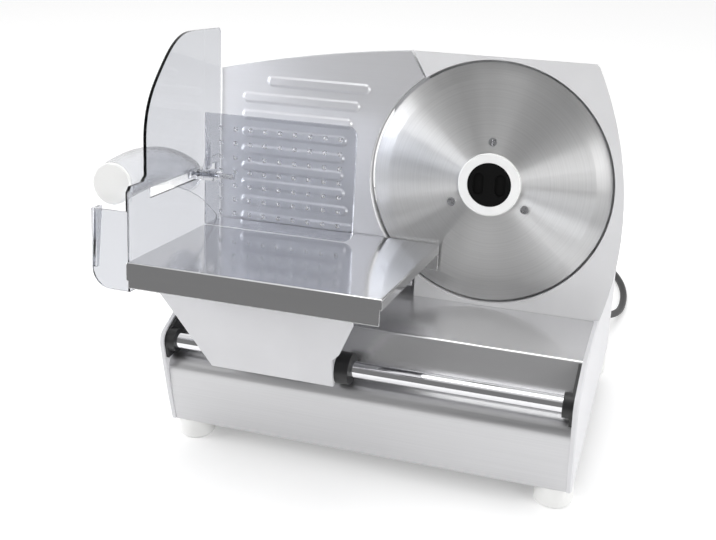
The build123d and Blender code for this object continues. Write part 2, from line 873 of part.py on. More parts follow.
with BuildPart() as front_housing:
    with BuildSketch(blade_plane.offset(housing_front_n)):
        add(housing_outline(housing_front_n, False))
    with BuildSketch(blade_plane.offset(housing_step_n)):
        add(housing_outline(housing_step_n, False))
    loft(ruled=True)
    with BuildSketch(blade_plane.offset(recess_floor_n)):
        Circle(drum_radius)
    with BuildSketch(blade_plane.offset(housing_step_n)):
        Circle(drum_back_radius)
    loft(ruled=True)
    with BuildSketch(blade_plane.offset(housing_step_n)):
        add(housing_outline(housing_step_n, True))
    with BuildSketch(blade_plane.offset(housing_joint_n)):
        add(housing_outline(housing_joint_n, True))
    loft(ruled=True)
    with BuildSketch(blade_plane.offset(housing_step_n)):
        add(guide_block(housing_step_n))
    with BuildSketch(blade_plane.offset(housing_joint_n)):
        add(guide_block(housing_joint_n))
    loft(ruled=True)
    with BuildSketch(blade_plane.offset(recess_floor_n)):
        Circle(recess_radius)
    extrude(amount=overrun, mode=Mode.SUBTRACT)
    add(front_hollow.part, mode=Mode.SUBTRACT)
    with BuildSketch(blade_plane.offset(pocket_floor_n - pocket_wall)):
        Circle(pocket_radius + pocket_wall)
    extrude(amount=recess_floor_n - pocket_floor_n + pocket_wall)
    with BuildSketch(blade_plane.offset(axle_back_n)):
        Circle(boss_behind_radius)
    extrude(amount=pocket_floor_n - axle_back_n)
    with BuildSketch(blade_plane.offset(pocket_floor_n)):
        Circle(pocket_radius)
        Circle(thrust_radius, mode=Mode.SUBTRACT)
    extrude(amount=overrun, mode=Mode.SUBTRACT)
    with BuildSketch(blade_plane.offset(gear_middle_n - gear_face / 2 - seat_gap)):
        Circle(thrust_radius)
    extrude(amount=overrun, mode=Mode.SUBTRACT)
    for s, t, start_n in posts:
        with BuildSketch(blade_plane.offset(housing_joint_n)):
            with Locations((s, t)):
                Circle(post_radius)
        extrude(amount=start_n - housing_joint_n)
    with BuildSketch(blade_plane.offset(housing_joint_n)):
        with Locations(*post_spots):
            Circle(post_screw_radius + press_gap)
    extrude(amount=post_screw_reach, mode=Mode.SUBTRACT)
    with BuildSketch(upright_plane(shaft_s, worm_bush_t, shaft_n)):
        Rectangle(2 * worm_boss_radius, 2 * worm_boss_radius)
    extrude(amount=worm_bush_height)
    with BuildSketch(upright_plane(shaft_s, worm_bush_t, shaft_n)):
        Circle(bush_radius + press_gap)
    extrude(amount=worm_bush_height, mode=Mode.SUBTRACT)
    with BuildSketch(upright_plane(shaft_s, -pocket_radius, shaft_n)):
        Circle(motor_shaft_radius + shaft_tunnel_gap)
    extrude(amount=pocket_radius + worm_bush_t, mode=Mode.SUBTRACT)
    with BuildSketch(blade_plane.offset(pocket_floor_n)):
        Circle(gear_outer + shaft_tunnel_gap)
        Circle(thrust_radius, mode=Mode.SUBTRACT)
    extrude(amount=overrun, mode=Mode.SUBTRACT)
    with BuildSketch(blade_plane.offset(shaft_n - worm_outer - 2 * seat_gap)):
        with Locations((shaft_s, 0)):
            Rectangle(2 * worm_outer + pocket_wall, worm_length + pocket_wall)
    extrude(amount=2 * worm_outer + 4 * seat_gap, mode=Mode.SUBTRACT)
    with BuildSketch(blade_plane.offset(axle_back_n - overrun)):
        Circle(axle_radius + press_gap)
    extrude(amount=3 * overrun, mode=Mode.SUBTRACT)
    with BuildSketch(blade_plane.offset(guide_bush_back_n)):
        with Locations(*guide_spots):
            Circle(guide_rod_radius + guide_bush_wall + guide_tube_wall)
    extrude(amount=housing_step_n - guide_bush_back_n)
    with BuildSketch(blade_plane.offset(guide_bush_back_n)):
        with Locations(*guide_spots):
            Circle(guide_rod_radius + guide_bush_wall + press_gap)
    extrude(amount=slab_back_n - guide_bush_back_n, mode=Mode.SUBTRACT)
    with BuildSketch(blade_plane.offset(slab_back_n - overrun)):
        with Locations(*guide_spots):
            Circle(guide_rod_radius + nut_gap)
        with Locations((guide_s, guide_t)):
            Circle(nut_radius + nut_gap)
    extrude(amount=2 * overrun, mode=Mode.SUBTRACT)
    split(bisect_by=Plane.XY.offset(shelf_top), keep=Keep.TOP)
    with BuildSketch(Plane.XY.offset(shelf_z)):
        with Locations((inner_right - seat_gap + overrun / 2, blade_y)):
            Rectangle(overrun, base_depth)
    extrude(amount=-overrun, mode=Mode.SUBTRACT)
save(front_housing, "front_housing")

# Rear cover
cover_inner_n = cover_back_n + cover_wall
well_floor_n = housing_joint_n - post_well_floor
with BuildPart() as rear_cover:
    with BuildSketch(blade_plane.offset(housing_joint_n)):
        add(housing_outline(housing_joint_n, True))
    with BuildSketch(blade_plane.offset(cover_back_n)):
        add(housing_outline(cover_back_n, True))
    loft(ruled=True)
    with BuildSketch(blade_plane.offset(housing_joint_n)):
        add(guide_block(housing_joint_n))
    with BuildSketch(blade_plane.offset(cover_back_n)):
        add(guide_block(cover_back_n))
    loft(ruled=True)
    rear_face = rear_cover.faces().sort_by(Axis(blade_centre, across))[0]
    rear_edges = [e for e in rear_face.edges() if e.center().Z > shelf_z]
    chamfer(rear_edges, length=cover_round)
    with BuildSketch(blade_plane.offset(housing_joint_n)):
        add(housing_outline(housing_joint_n, True, cover_wall))
    with BuildSketch(blade_plane.offset(cover_inner_n)):
        add(housing_outline(cover_inner_n, True, cover_wall))
    loft(ruled=True, mode=Mode.SUBTRACT)
    with BuildSketch(blade_plane.offset(housing_joint_n)):
        add(guide_block(housing_joint_n, cover_wall))
    with BuildSketch(blade_plane.offset(cover_inner_n)):
        add(guide_block(cover_inner_n, cover_wall))
    loft(ruled=True, mode=Mode.SUBTRACT)
    with BuildSketch(blade_plane.offset(cover_back_n + cover_round)):
        with Locations(*post_spots):
            Circle(post_radius)
    extrude(amount=housing_joint_n - cover_back_n - cover_round)
    with BuildSketch(blade_plane.offset(cover_inner_n)):
        with Locations(*post_spots):
            Circle(post_radius)
    extrude(amount=2 * cover_round)
    with BuildSketch(blade_plane.offset(well_floor_n)):
        with Locations(*post_spots):
            Circle(post_well_radius)
    extrude(amount=cover_back_n - well_floor_n - overrun, mode=Mode.SUBTRACT)
    with BuildSketch(blade_plane.offset(well_floor_n)):
        with Locations(*post_spots):
            Circle(post_screw_radius + seat_gap)
    extrude(amount=overrun, mode=Mode.SUBTRACT)
    with BuildSketch(blade_plane.offset(cover_inner_n)):
        with Locations((guide_s, guide_t)):
            Circle(spindle_collar_radius)
    extrude(amount=spindle_boss)
    with BuildSketch(blade_plane.offset(cover_back_n - overrun)):
        with Locations((guide_s, guide_t)):
            Circle(spindle_radius + run_gap)
        with Locations((switch_s, switch_t)):
            Rectangle(switch_width + 2 * seat_gap, switch_height + 2 * seat_gap)
    extrude(amount=2 * overrun, mode=Mode.SUBTRACT)
    with BuildSketch(blade_plane.offset(cover_back_n - overrun)):
        with Locations((vent_s, vent_t)):
            with GridLocations(0, vent_pitch, 1, vent_rows):
                SlotOverall(vent_length, vent_width)
    extrude(amount=overrun + 2 * cover_wall, mode=Mode.SUBTRACT)
    split(bisect_by=Plane.XY.offset(shelf_top), keep=Keep.TOP)
save(rear_cover, "rear_cover")

with BuildPart() as housing_screws:
    with BuildSketch(blade_plane.offset(well_floor_n)):
        with Locations(*post_spots):
            Circle(post_screw_head)
    extrude(amount=-bezel_thickness)
    with BuildSketch(blade_plane.offset(well_floor_n)):
        with Locations(*post_spots):
            Circle(post_screw_radius)
    extrude(amount=post_well_floor + post_screw_reach - seat_gap)
save(housing_screws, "housing_screws")

# Axle, bushes and the worm's bush
with BuildPart() as blade_axle:
    with BuildSketch(blade_plane.offset(axle_back_n)):
        Circle(axle_radius)
    extrude(amount=axle_front_n - axle_back_n)
save(blade_axle, "blade_axle")

with BuildPart() as worm_bush:
    with BuildSketch(upright_plane(shaft_s, worm_bush_t, shaft_n)):
        Circle(bush_radius)
        Circle(motor_shaft_radius + run_gap, mode=Mode.SUBTRACT)
    extrude(amount=worm_bush_height)
save(worm_bush, "worm_bush")

with BuildPart() as guide_bushes:
    with BuildSketch(blade_plane.offset(guide_bush_back_n)):
        with Locations(*guide_spots):
            Circle(guide_rod_radius + guide_bush_wall)
            Circle(guide_rod_radius + run_gap, mode=Mode.SUBTRACT)
    extrude(amount=slab_back_n - guide_bush_back_n)
save(guide_bushes, "guide_bushes")

# Blade: a disc ground thin towards its edge
blade_screw_angles = (90, 210, 330)
with BuildPart() as blade:
    with BuildSketch(Plane(origin=blade_centre, x_dir=(1, 0, 0), z_dir=-uphill)):
        with BuildLine():
            Polyline(
                (hub_radius + seat_gap, -blade_thickness),
                (hub_radius + seat_gap, 0),
                (blade_radius - grind_width, 0),
                (blade_radius, edge_thickness - blade_thickness),
                (blade_radius, -blade_thickness),
                close=True,
            )
        make_face()
    revolve(axis=Axis(blade_centre, across))
    with BuildSketch(blade_plane.offset(-blade_thickness)):
        with PolarLocations(blade_screw_circle, blade_screw_count, 90):
            Circle(blade_screw_radius + seat_gap)
    extrude(amount=blade_thickness, mode=Mode.SUBTRACT)
save(blade, "blade")

# Blade gear: hub ring, flange and helical teeth that follow the worm's lead
gear_front_n = gear_middle_n + gear_face / 2
gear_back_n = gear_middle_n - gear_face / 2
lead_slope = worm_lead / (2 * pi * worm_pitch_radius)
gear_twist = degrees(lead_slope * gear_face / 2 / gear_pitch_radius)


def gear_points(turn):
    """Outline of the toothed rim with a gap centred on the local x axis, turned by turn."""
    step = 2 * pi / gear_teeth
    half_root = step * (1 - gear_root_share) / 2
    half_tip = step * gear_tip_share / 2
    points = []
    for tooth in range(gear_teeth):
        middle = (tooth + 0.5) * step + radians(turn)
        for angle, radius in (
            (middle - half_root, gear_root),
            (middle - half_tip, gear_outer),
            (middle + half_tip, gear_outer),
            (middle + half_root, gear_root),
        ):
            points.append((radius * cos(angle), radius * sin(angle)))
    return points


with BuildPart() as blade_gear:
    for n, turn in ((gear_back_n, -gear_twist), (gear_middle_n, 0), (gear_front_n, gear_twist)):
        with BuildSketch(blade_plane.offset(n)):
            with BuildLine():
                Polyline(*gear_points(turn), close=True)
            make_face()
    loft(ruled=True)
    with BuildSketch(blade_plane.offset(gear_front_n)):
        Circle(gear_neck_radius)
    extrude(amount=gear_flange_back_n - gear_front_n)
    with BuildSketch(blade_plane.offset(gear_flange_back_n)):
        Circle(gear_flange_radius)
    extrude(amount=-blade_thickness - gear_flange_back_n)
    with BuildSketch(blade_plane.offset(-blade_thickness)):
        Circle(hub_radius)
    extrude(amount=blade_thickness + hub_proud)
    chamfer(blade_gear.faces().sort_by(Axis(blade_centre, across))[-1].edges(), length=seat_gap * 6)
    with BuildSketch(blade_plane.offset(lock_proud - lock_depth)):
        Circle(lock_radius + seat_gap)
    extrude(amount=overrun, mode=Mode.SUBTRACT)
    with BuildSketch(blade_plane.offset(gear_back_n)):
        Circle(axle_radius + run_gap)
    extrude(amount=overrun * 2, mode=Mode.SUBTRACT)
    with BuildSketch(blade_plane.offset(gear_flange_back_n)):
        with PolarLocations(blade_screw_circle, blade_screw_count, 90):
            Circle(blade_screw_radius + press_gap)
    extrude(amount=overrun * 2, mode=Mode.SUBTRACT)
save(blade_gear, "blade_gear")

with BuildPart() as blade_screws:
    with BuildSketch(blade_plane):
        with PolarLocations(blade_screw_circle, blade_screw_count, 90):
            Circle(blade_screw_head)
    extrude(amount=blade_screw_proud)
    with BuildSketch(blade_plane):
        with PolarLocations(blade_screw_circle, blade_screw_count, 90):
            Circle(blade_screw_radius)
    extrude(amount=gear_flange_back_n - seat_gap * 5)
    with BuildSketch(blade_plane.offset(blade_screw_proud)):
        with PolarLocations(blade_screw_circle, blade_screw_count, 90):
            Rectangle(blade_screw_head * 1.5, blade_screw_proud)
    extrude(amount=-blade_screw_proud / 2, mode=Mode.SUBTRACT)
save(blade_screws, "blade_screws")

# Black lock cap with its finger grip
with BuildPart() as blade_lock:
    with BuildSketch(blade_plane.offset(lock_proud - lock_depth + run_gap)):
        Circle(lock_radius)
    extrude(amount=lock_depth - run_gap)
    with BuildSketch(blade_plane.offset(lock_proud)):
        with Locations((-lock_radius / 2, 0), (lock_radius / 2, 0)):
            SlotOverall(lock_radius, lock_radius / 2, rotation=90)
    extrude(amount=-lock_depth / 2, mode=Mode.SUBTRACT)
save(blade_lock, "blade_lock")


# Motor rotor: shaft and worm in one, core, commutator and fan
def thread_points(turn):
    """Section of the worm, with a crest facing the gear when turn is zero."""
    crest = 0.34
    profile = ((0.0, worm_outer), (0.17, worm_outer), (0.34, worm_outer),
               (0.49, worm_root), (0.67, worm_root), (0.85, worm_root))
    points = []
    for start in range(worm_starts):
        for share, radius in profile:
            angle = turn + pi + 2 * pi * (start + share - crest / 2) / worm_starts
            points.append((radius * cos(angle), radius * sin(angle)))
    return points


with BuildPart() as armature_shaft:
    for index in range(worm_sections):
        rise = worm_length * (index / (worm_sections - 1) - 0.5)
        with BuildSketch(upright_plane(shaft_s, rise, shaft_n)):
            with BuildLine():
                Polyline(*thread_points(2 * pi * rise / worm_lead), close=True)
            make_face()
    loft(ruled=True)
    with BuildSketch(upright_plane(shaft_s, shaft_bottom_t, shaft_n)):
        Circle(motor_shaft_radius)
    extrude(amount=shaft_top_t - shaft_bottom_t)
save(armature_shaft, "armature_shaft")

with BuildPart() as armature_core:
    with BuildSketch(upright_plane(shaft_s, stator_top_t, shaft_n)):
        Circle(armature_radius)
        with PolarLocations(armature_radius, armature_slots):
            Rectangle(armature_slot_depth * 2, armature_slot_width, mode=Mode.SUBTRACT)
        Circle(motor_shaft_radius + press_gap, mode=Mode.SUBTRACT)
    extrude(amount=-stator_height)
save(armature_core, "armature_core")

with BuildPart() as commutator:
    with BuildSketch(upright_plane(shaft_s, commutator_top_t, shaft_n)):
        Circle(commutator_radius)
        Circle(motor_shaft_radius + press_gap, mode=Mode.SUBTRACT)
    extrude(amount=-commutator_height)
save(commutator, "commutator")

with BuildPart() as cooling_fan:
    with BuildSketch(upright_plane(shaft_s, fan_top_t - fan_thickness, shaft_n)):
        Circle(fan_hub_radius)
        with PolarLocations(fan_radius / 2, fan_blades):
            Rectangle(fan_radius, fan_blade_width)
        Circle(fan_radius, mode=Mode.INTERSECT)
    extrude(amount=fan_thickness)
    with BuildSketch(upright_plane(shaft_s, fan_top_t - fan_thickness, shaft_n)):
        Circle(fan_radius)
    extrude(amount=fan_disc)
    with BuildSketch(upright_plane(shaft_s, fan_top_t - fan_thickness, shaft_n)):
        Circle(motor_shaft_radius + press_gap)
    extrude(amount=fan_thickness, mode=Mode.SUBTRACT)
save(cooling_fan, "cooling_fan")


# Motor's fixed half
def wedge(radius, half_angle):
    """Two opposite wedges about the local y axis."""
    reach = radius * 3
    side = reach * sin(radians(half_angle))
    height = reach * cos(radians(half_angle))
    with BuildSketch(Plane.XY) as both:
        with BuildLine():
            Polyline((0, 0), (side, height), (-side, height), close=True)
        make_face()
        with BuildLine():
            Polyline((0, 0), (-side, -height), (side, -height), close=True)
        make_face()
    return both.sketch


def coil_band(gap):
    """Ring in which the field coils lie, widened by the gap."""
    with BuildSketch(Plane.XY) as band:
        Circle(coil_outer_radius + gap)
        Circle(coil_inner_radius - gap, mode=Mode.SUBTRACT)
        add(wedge(coil_outer_radius, coil_half_angle + gap * 2), mode=Mode.INTERSECT)
    return band.sketch


stator_low_t = stator_top_t - stator_height
bolt_spots = [(-motor_screw_s, 0), (motor_screw_s, 0)]
with BuildPart() as motor_stator:
    with BuildSketch(upright_plane(shaft_s, stator_low_t, shaft_n)):
        RectangleRounded(stator_size, stator_size, stator_corner)
        Circle(stator_bore, mode=Mode.SUBTRACT)
        with Locations(*bolt_spots):
            Circle(motor_screw_radius + seat_gap, mode=Mode.SUBTRACT)
    extrude(amount=stator_height)
    with BuildSketch(upright_plane(shaft_s, stator_low_t, shaft_n)):
        add(coil_band(coil_slot_gap))
        add(wedge(coil_outer_radius, coil_window_angle - coil_slot_gap * 2), mode=Mode.SUBTRACT)
    extrude(amount=stator_height, mode=Mode.SUBTRACT)
save(motor_stator, "motor_stator")

with BuildPart() as field_coils:
    with BuildSketch(upright_plane(shaft_s, stator_low_t - coil_over, shaft_n)):
        add(coil_band(0))
    extrude(amount=stator_height + 2 * coil_over)
    with BuildSketch(upright_plane(shaft_s, stator_low_t - coil_slot_gap, shaft_n)):
        add(wedge(coil_outer_radius, coil_window_angle))
    extrude(amount=stator_height + 2 * coil_slot_gap, mode=Mode.SUBTRACT)
save(field_coils, "field_coils")


def make_bracket(plate_t, leg_from, leg_to):
    """Cast bracket: a bar across the motor with a bush seat and a leg at each end."""
    leg_spot = (stator_size - bracket_leg) / 2
    with BuildPart() as bracket:
        with BuildSketch(upright_plane(shaft_s, plate_t, shaft_n)):
            Rectangle(stator_size, bracket_depth)
            Circle(bush_radius + bracket_plate / 2)
        extrude(amount=-bracket_plate)
        with BuildSketch(upright_plane(shaft_s, leg_from, shaft_n)):
            with Locations((-leg_spot, 0), (leg_spot, 0)):
                Rectangle(bracket_leg, bracket_depth)
        extrude(amount=leg_to - leg_from)
        with BuildSketch(upright_plane(shaft_s, plate_t, shaft_n)):
            Circle(bush_radius + press_gap)
        extrude(amount=-bracket_plate, mode=Mode.SUBTRACT)
        with BuildSketch(upright_plane(shaft_s, plate_t + overrun, shaft_n)):
            with Locations(*bolt_spots):
                Circle(motor_screw_radius + seat_gap)
        extrude(amount=-3 * overrun, mode=Mode.SUBTRACT)
    return bracket


save(make_bracket(bracket_upper_t, bracket_upper_t, stator_top_t), "motor_bracket_upper")
lower_bracket = make_bracket(bracket_lower_t, bracket_lower_t - bracket_plate, stator_low_t)
brush_t = commutator_top_t - commutator_height / 2
brush_middle = commutator_radius + brush_gap + brush_length / 2
brush_foot_length = commutator_radius + brush_gap + brush_length - brush_foot_inner
brush_foot_middle = brush_foot_inner + brush_foot_length / 2
save(lower_bracket, "motor_bracket_lower")

with BuildPart() as brush_holders:
    with BuildSketch(upright_plane(shaft_s, brush_t - brush_height / 2, shaft_n)):
        with Locations((0, -brush_middle), (0, brush_middle)):
            Rectangle(brush_width, brush_length)
    extrude(amount=brush_height)
    with BuildSketch(upright_plane(shaft_s, bracket_lower_t, shaft_n)):
        with Locations((0, -brush_middle), (0, brush_middle)):
            Rectangle(brush_width, brush_length)
    extrude(amount=brush_t - bracket_lower_t)
    with BuildSketch(upright_plane(shaft_s, bracket_lower_t, shaft_n)):
        with Locations((0, -brush_foot_middle), (0, brush_foot_middle)):
            Rectangle(brush_width * 2, brush_foot_length)
    extrude(amount=brush_foot_height)
save(brush_holders, "brush_holders")

with BuildPart() as motor_bushes:
    for plate_t in (bracket_upper_t, bracket_lower_t):
        with BuildSketch(upright_plane(shaft_s, plate_t, shaft_n)):
            Circle(bush_radius)
            Circle(motor_shaft_radius + run_gap, mode=Mode.SUBTRACT)
        extrude(amount=-bracket_plate)
save(motor_bushes, "motor_bushes")

with BuildPart() as motor_screws:
    with BuildSketch(upright_plane(shaft_s, bracket_upper_t, shaft_n)):
        with Locations(*bolt_spots):
            Circle(motor_screw_head)
    extrude(amount=motor_screw_head_height)
    with BuildSketch(upright_plane(shaft_s, bracket_upper_t, shaft_n)):
        with Locations(*bolt_spots):
            Circle(motor_screw_radius)
    extrude(amount=bracket_lower_t - bracket_plate - bracket_upper_t)
save(motor_screws, "motor_screws")

cradle_spot = spot(shaft_s, bracket_lower_t, shaft_n)
cradle_floor_z = bottom_z + floor_thickness
with BuildPart() as motor_cradle:
    with BuildSketch(Plane.XY.offset(cradle_floor_z)):
        with Locations((cradle_spot.X, cradle_spot.Y)):
            Rectangle(stator_size + 2 * cradle_wall, bracket_depth + 4 * cradle_wall)
    extrude(amount=cradle_top_z - cradle_floor_z)
    with BuildSketch(upright_plane(shaft_s, bracket_lower_t - bracket_plate, shaft_n)):
        Rectangle(stator_size + 2 * cradle_gap, bracket_depth + 2 * cradle_gap)
        Circle(bush_radius + bracket_plate / 2 + cradle_gap)
    extrude(amount=overrun * 3, mode=Mode.SUBTRACT)
    with BuildSketch(upright_plane(shaft_s, bracket_lower_t, shaft_n)):
        Rectangle(brush_width * 2 + 4 * cradle_gap, overrun * 3)
    extrude(amount=overrun * 3, mode=Mode.SUBTRACT)
save(motor_cradle, "motor_cradle")

# Gauge plate with its rim and embossed ribs


def gauge_outline(inset):
    """Outline of the gauge plate, drawn in by the inset."""
    low_t = gauge_bottom_t + inset
    left = gauge_left_s + inset
    arc_radius = gauge_arc_radius + inset
    right = gauge_right_s - inset
    upper_t = gauge_upper_t - inset
    upper_s = -sqrt(arc_radius ** 2 - upper_t ** 2)
    lower_t = -sqrt(arc_radius ** 2 - right ** 2)
    with BuildSketch(Plane.XY) as outline:
        with BuildLine():
            ThreePointArc((upper_s, upper_t), (-arc_radius, 0), (right, lower_t))
            Polyline((right, lower_t), (right, low_t), (left, low_t), (left, gauge_left_t - inset))
            ThreePointArc(
                (left, gauge_left_t - inset),
                (gauge_mid_s, gauge_mid_t - inset),
                (gauge_top_s - inset, gauge_top_t - inset),
            )
            Line((gauge_top_s - inset, gauge_top_t - inset), (upper_s, upper_t))
        make_face()
    return outline.sketch


gauge_back_n = gauge_front_n - gauge_sheet
bracket_back_n = gauge_back_n - bracket_thickness
bracket_screw_spots = [
    (guide_s + i * bracket_screw_s, guide_t + j * bracket_screw_t) for i in (-1, 1) for j in (-1, 1)
]
with BuildPart() as gauge_plate:
    with BuildSketch(blade_plane.offset(gauge_front_n)):
        add(gauge_outline(0))
    extrude(amount=-gauge_rim_depth)
    chamfer(gauge_plate.faces().sort_by(Axis(blade_centre, across))[-1].edges(), length=gauge_edge)
    with BuildSketch(blade_plane.offset(gauge_back_n)):
        add(gauge_outline(gauge_rim_wall))
    extrude(amount=-gauge_rim_depth, mode=Mode.SUBTRACT)
    for row in range(rib_count):
        rib_t = rib_first_t - rib_pitch * row
        right_end = -sqrt(rib_reach ** 2 - rib_t ** 2)
        left_end = rib_left_s if row else rib_top_left_s
        with BuildSketch(blade_plane.offset(gauge_front_n)):
            with Locations(((left_end + right_end) / 2, rib_t)):
                SlotOverall(right_end - left_end, rib_height)
        extrude(amount=rib_proud, taper=rib_taper)
    with BuildSketch(blade_plane.offset(gauge_back_n)):
        with Locations(*bracket_screw_spots):
            Circle(bracket_screw_radius + press_gap)
    extrude(amount=gauge_sheet / 2, mode=Mode.SUBTRACT)
save(gauge_plate, "gauge_plate")

with BuildPart() as gauge_bracket:
    with BuildSketch(blade_plane.offset(gauge_back_n)):
        with Locations((guide_s, guide_t)):
            RectangleRounded(bracket_width, bracket_height, gauge_rim_depth / 2)
    extrude(amount=-bracket_thickness)
    with BuildSketch(blade_plane.offset(bracket_back_n)):
        with Locations(*guide_spots):
            Circle(guide_rod_radius + guide_bush_wall)
    extrude(amount=-bracket_thickness / 2)
    with BuildSketch(blade_plane.offset(bracket_back_n)):
        with Locations((guide_s, guide_t)):
            Circle(nut_radius)
    extrude(amount=-nut_length)
    with BuildSketch(blade_plane.offset(gauge_back_n)):
        with Locations((guide_s, guide_t)):
            Circle(spindle_radius + run_gap)
        with Locations(*guide_spots):
            Circle(guide_rod_radius + press_gap)
        with Locations(*bracket_screw_spots):
            Circle(bracket_screw_radius + seat_gap)
    extrude(amount=-nut_length - overrun, mode=Mode.SUBTRACT)
save(gauge_bracket, "gauge_bracket")

with BuildPart() as gauge_screws:
    with BuildSketch(blade_plane.offset(bracket_back_n)):
        with Locations(*bracket_screw_spots):
            Circle(bracket_screw_head)
    extrude(amount=-bracket_screw_head_height)
    with BuildSketch(blade_plane.offset(bracket_back_n)):
        with Locations(*bracket_screw_spots):
            Circle(bracket_screw_radius)
    extrude(amount=bracket_thickness + gauge_sheet / 2 - press_gap)
save(gauge_screws, "gauge_screws")

with BuildPart() as guide_rods:
    with BuildSketch(blade_plane.offset(gauge_back_n)):
        with Locations(*guide_spots):
            Circle(guide_rod_radius)
    extrude(amount=-guide_rod_length)
save(guide_rods, "guide_rods")

# Thickness spindle and dial
collar_n = cover_inner_n + spindle_boss + seat_gap
dial_front_n = cover_back_n - dial_gap
dial_back_n = dial_front_n - dial_depth
with BuildPart() as thickness_spindle:
    with BuildSketch(blade_plane.offset(spindle_front_n)):
        with Locations((guide_s, guide_t)):
            Circle(spindle_radius)
    extrude(amount=dial_back_n + dial_cap - spindle_front_n)
    with BuildSketch(blade_plane.offset(collar_n)):
        with Locations((guide_s, guide_t)):
            Circle(spindle_collar_radius)
    extrude(amount=spindle_collar)
save(thickness_spindle, "thickness_spindle")

with BuildPart() as thickness_knob:
    with BuildSketch(blade_plane.offset(dial_front_n)):
        with Locations((guide_s, guide_t)):
            Circle(dial_radius)
    extrude(amount=-dial_depth)
    chamfer(thickness_knob.faces().sort_by(Axis(blade_centre, across))[0].edges(), length=gauge_sheet)
    with BuildSketch(blade_plane.offset(dial_front_n)):
        with Locations((guide_s, guide_t)):
            with PolarLocations(dial_radius, dial_flutes):
                Circle(dial_flute_radius)
    extrude(amount=-dial_depth - overrun, mode=Mode.SUBTRACT)
    with BuildSketch(blade_plane.offset(dial_front_n)):
        with Locations((guide_s, guide_t)):
            Circle(dial_radius - dial_skirt)
            Circle(dial_radius / 2, mode=Mode.SUBTRACT)
    extrude(amount=dial_cap - dial_depth, mode=Mode.SUBTRACT)
    with BuildSketch(blade_plane.offset(dial_front_n)):
        with Locations((guide_s, guide_t)):
            Circle(spindle_radius + press_gap)
    extrude(amount=dial_cap - dial_depth, mode=Mode.SUBTRACT)
save(thickness_knob, "thickness_knob")

# Switch in the rear cover
switch_plane = blade_plane.offset(cover_back_n)
pivot_n = cover_back_n + rocker_pivot
with BuildPart() as switch_body:
    with BuildSketch(switch_plane):
        with Locations((switch_s, switch_t)):
            Rectangle(switch_width, switch_height)
    extrude(amount=switch_depth)
    with BuildSketch(switch_plane):
        with Locations((switch_s, switch_t)):
            Rectangle(switch_width + 2 * bezel_margin, switch_height + 2 * bezel_margin)
    extrude(amount=-bezel_thickness)
    with BuildSketch(blade_plane.offset(cover_back_n - bezel_thickness)):
        with Locations((switch_s, switch_t)):
            Rectangle(rocker_well_width, rocker_well_height)
    extrude(amount=bezel_thickness + rocker_well_depth, mode=Mode.SUBTRACT)
save(switch_body, "switch_body")

rocker_points = [
    (rocker_tail, rocker_tail_half),
    (-rocker_belly_reach, rocker_belly),
    (-rocker_face, rocker_half),
    (-rocker_dip, 0),
    (-rocker_face, -rocker_half),
    (-rocker_belly_reach, -rocker_belly),
    (rocker_tail, -rocker_tail_half),
]
tilt = radians(rocker_tilt)
with BuildPart() as switch_rocker:
    half_width = rocker_well_width / 2 - rocker_side_gap
    with BuildSketch(side_plane(blade_x + switch_s + half_width)):
        with BuildLine():
            Polyline(
                *[
                    (pivot_n + a * cos(tilt) - b * sin(tilt), switch_t + a * sin(tilt) + b * cos(tilt))
                    for a, b in rocker_points
                ],
                close=True,
            )
        make_face()
    extrude(amount=2 * half_width)
    pin_half = half_width + rocker_side_gap * 0.75
    with BuildSketch(side_plane(blade_x + switch_s + pin_half)):
        with Locations((pivot_n, switch_t)):
            Circle(rocker_pin_radius)
    extrude(amount=2 * pin_half)
save(switch_rocker, "switch_rocker")

# Tray of folded sheet with its four lips
tray_mid_s = (tray_left_s + tray_right_s) / 2
tray_mid_n = (tray_back_n + tray_front_n) / 2
tray_width = tray_right_s - tray_left_s
tray_depth = tray_front_n - tray_back_n
with BuildPart() as food_tray:
    with BuildSketch(upright_plane(tray_mid_s, tray_t, tray_mid_n)):
        Rectangle(tray_width, tray_depth)
    extrude(amount=-tray_back_lip)
    top_face = food_tray.faces().sort_by(Axis(blade_centre, uphill))[-1]
    fillet(top_face.edges(), radius=tray_sheet)
    with BuildSketch(upright_plane(tray_mid_s, tray_t - tray_sheet, tray_mid_n)):
        Rectangle(tray_width - 2 * tray_sheet, tray_depth - 2 * tray_sheet)
    extrude(amount=-tray_back_lip, mode=Mode.SUBTRACT)
    low_cut = tray_depth - tray_sheet
    with BuildSketch(side_plane(blade_x + tray_right_s + overrun)):
        with Locations((tray_front_n - low_cut / 2, tray_t - tray_right_lip - overrun / 2)):
            Rectangle(low_cut, overrun)
    extrude(amount=overrun + tray_sheet, mode=Mode.SUBTRACT)
    with BuildSketch(side_plane(blade_x + tray_left_s + tray_sheet)):
        with Locations((tray_front_n - low_cut / 2, tray_t - tray_left_lip - overrun / 2)):
            Rectangle(low_cut, overrun)
    extrude(amount=overrun + tray_sheet, mode=Mode.SUBTRACT)
    with BuildSketch(upright_plane(tray_mid_s, tray_t - tray_front_lip, tray_front_n)):
        Rectangle(tray_width + overrun, overrun)
    extrude(amount=-overrun, mode=Mode.SUBTRACT)
    with BuildSketch(side_plane(blade_x + tray_left_s + 2 * tray_sheet)):
        with Locations(*[(n, guard_screw_t) for n in guard_screw_ns]):
            Circle(guard_screw_radius + seat_gap)
    extrude(amount=4 * tray_sheet, mode=Mode.SUBTRACT)
save(food_tray, "food_tray")

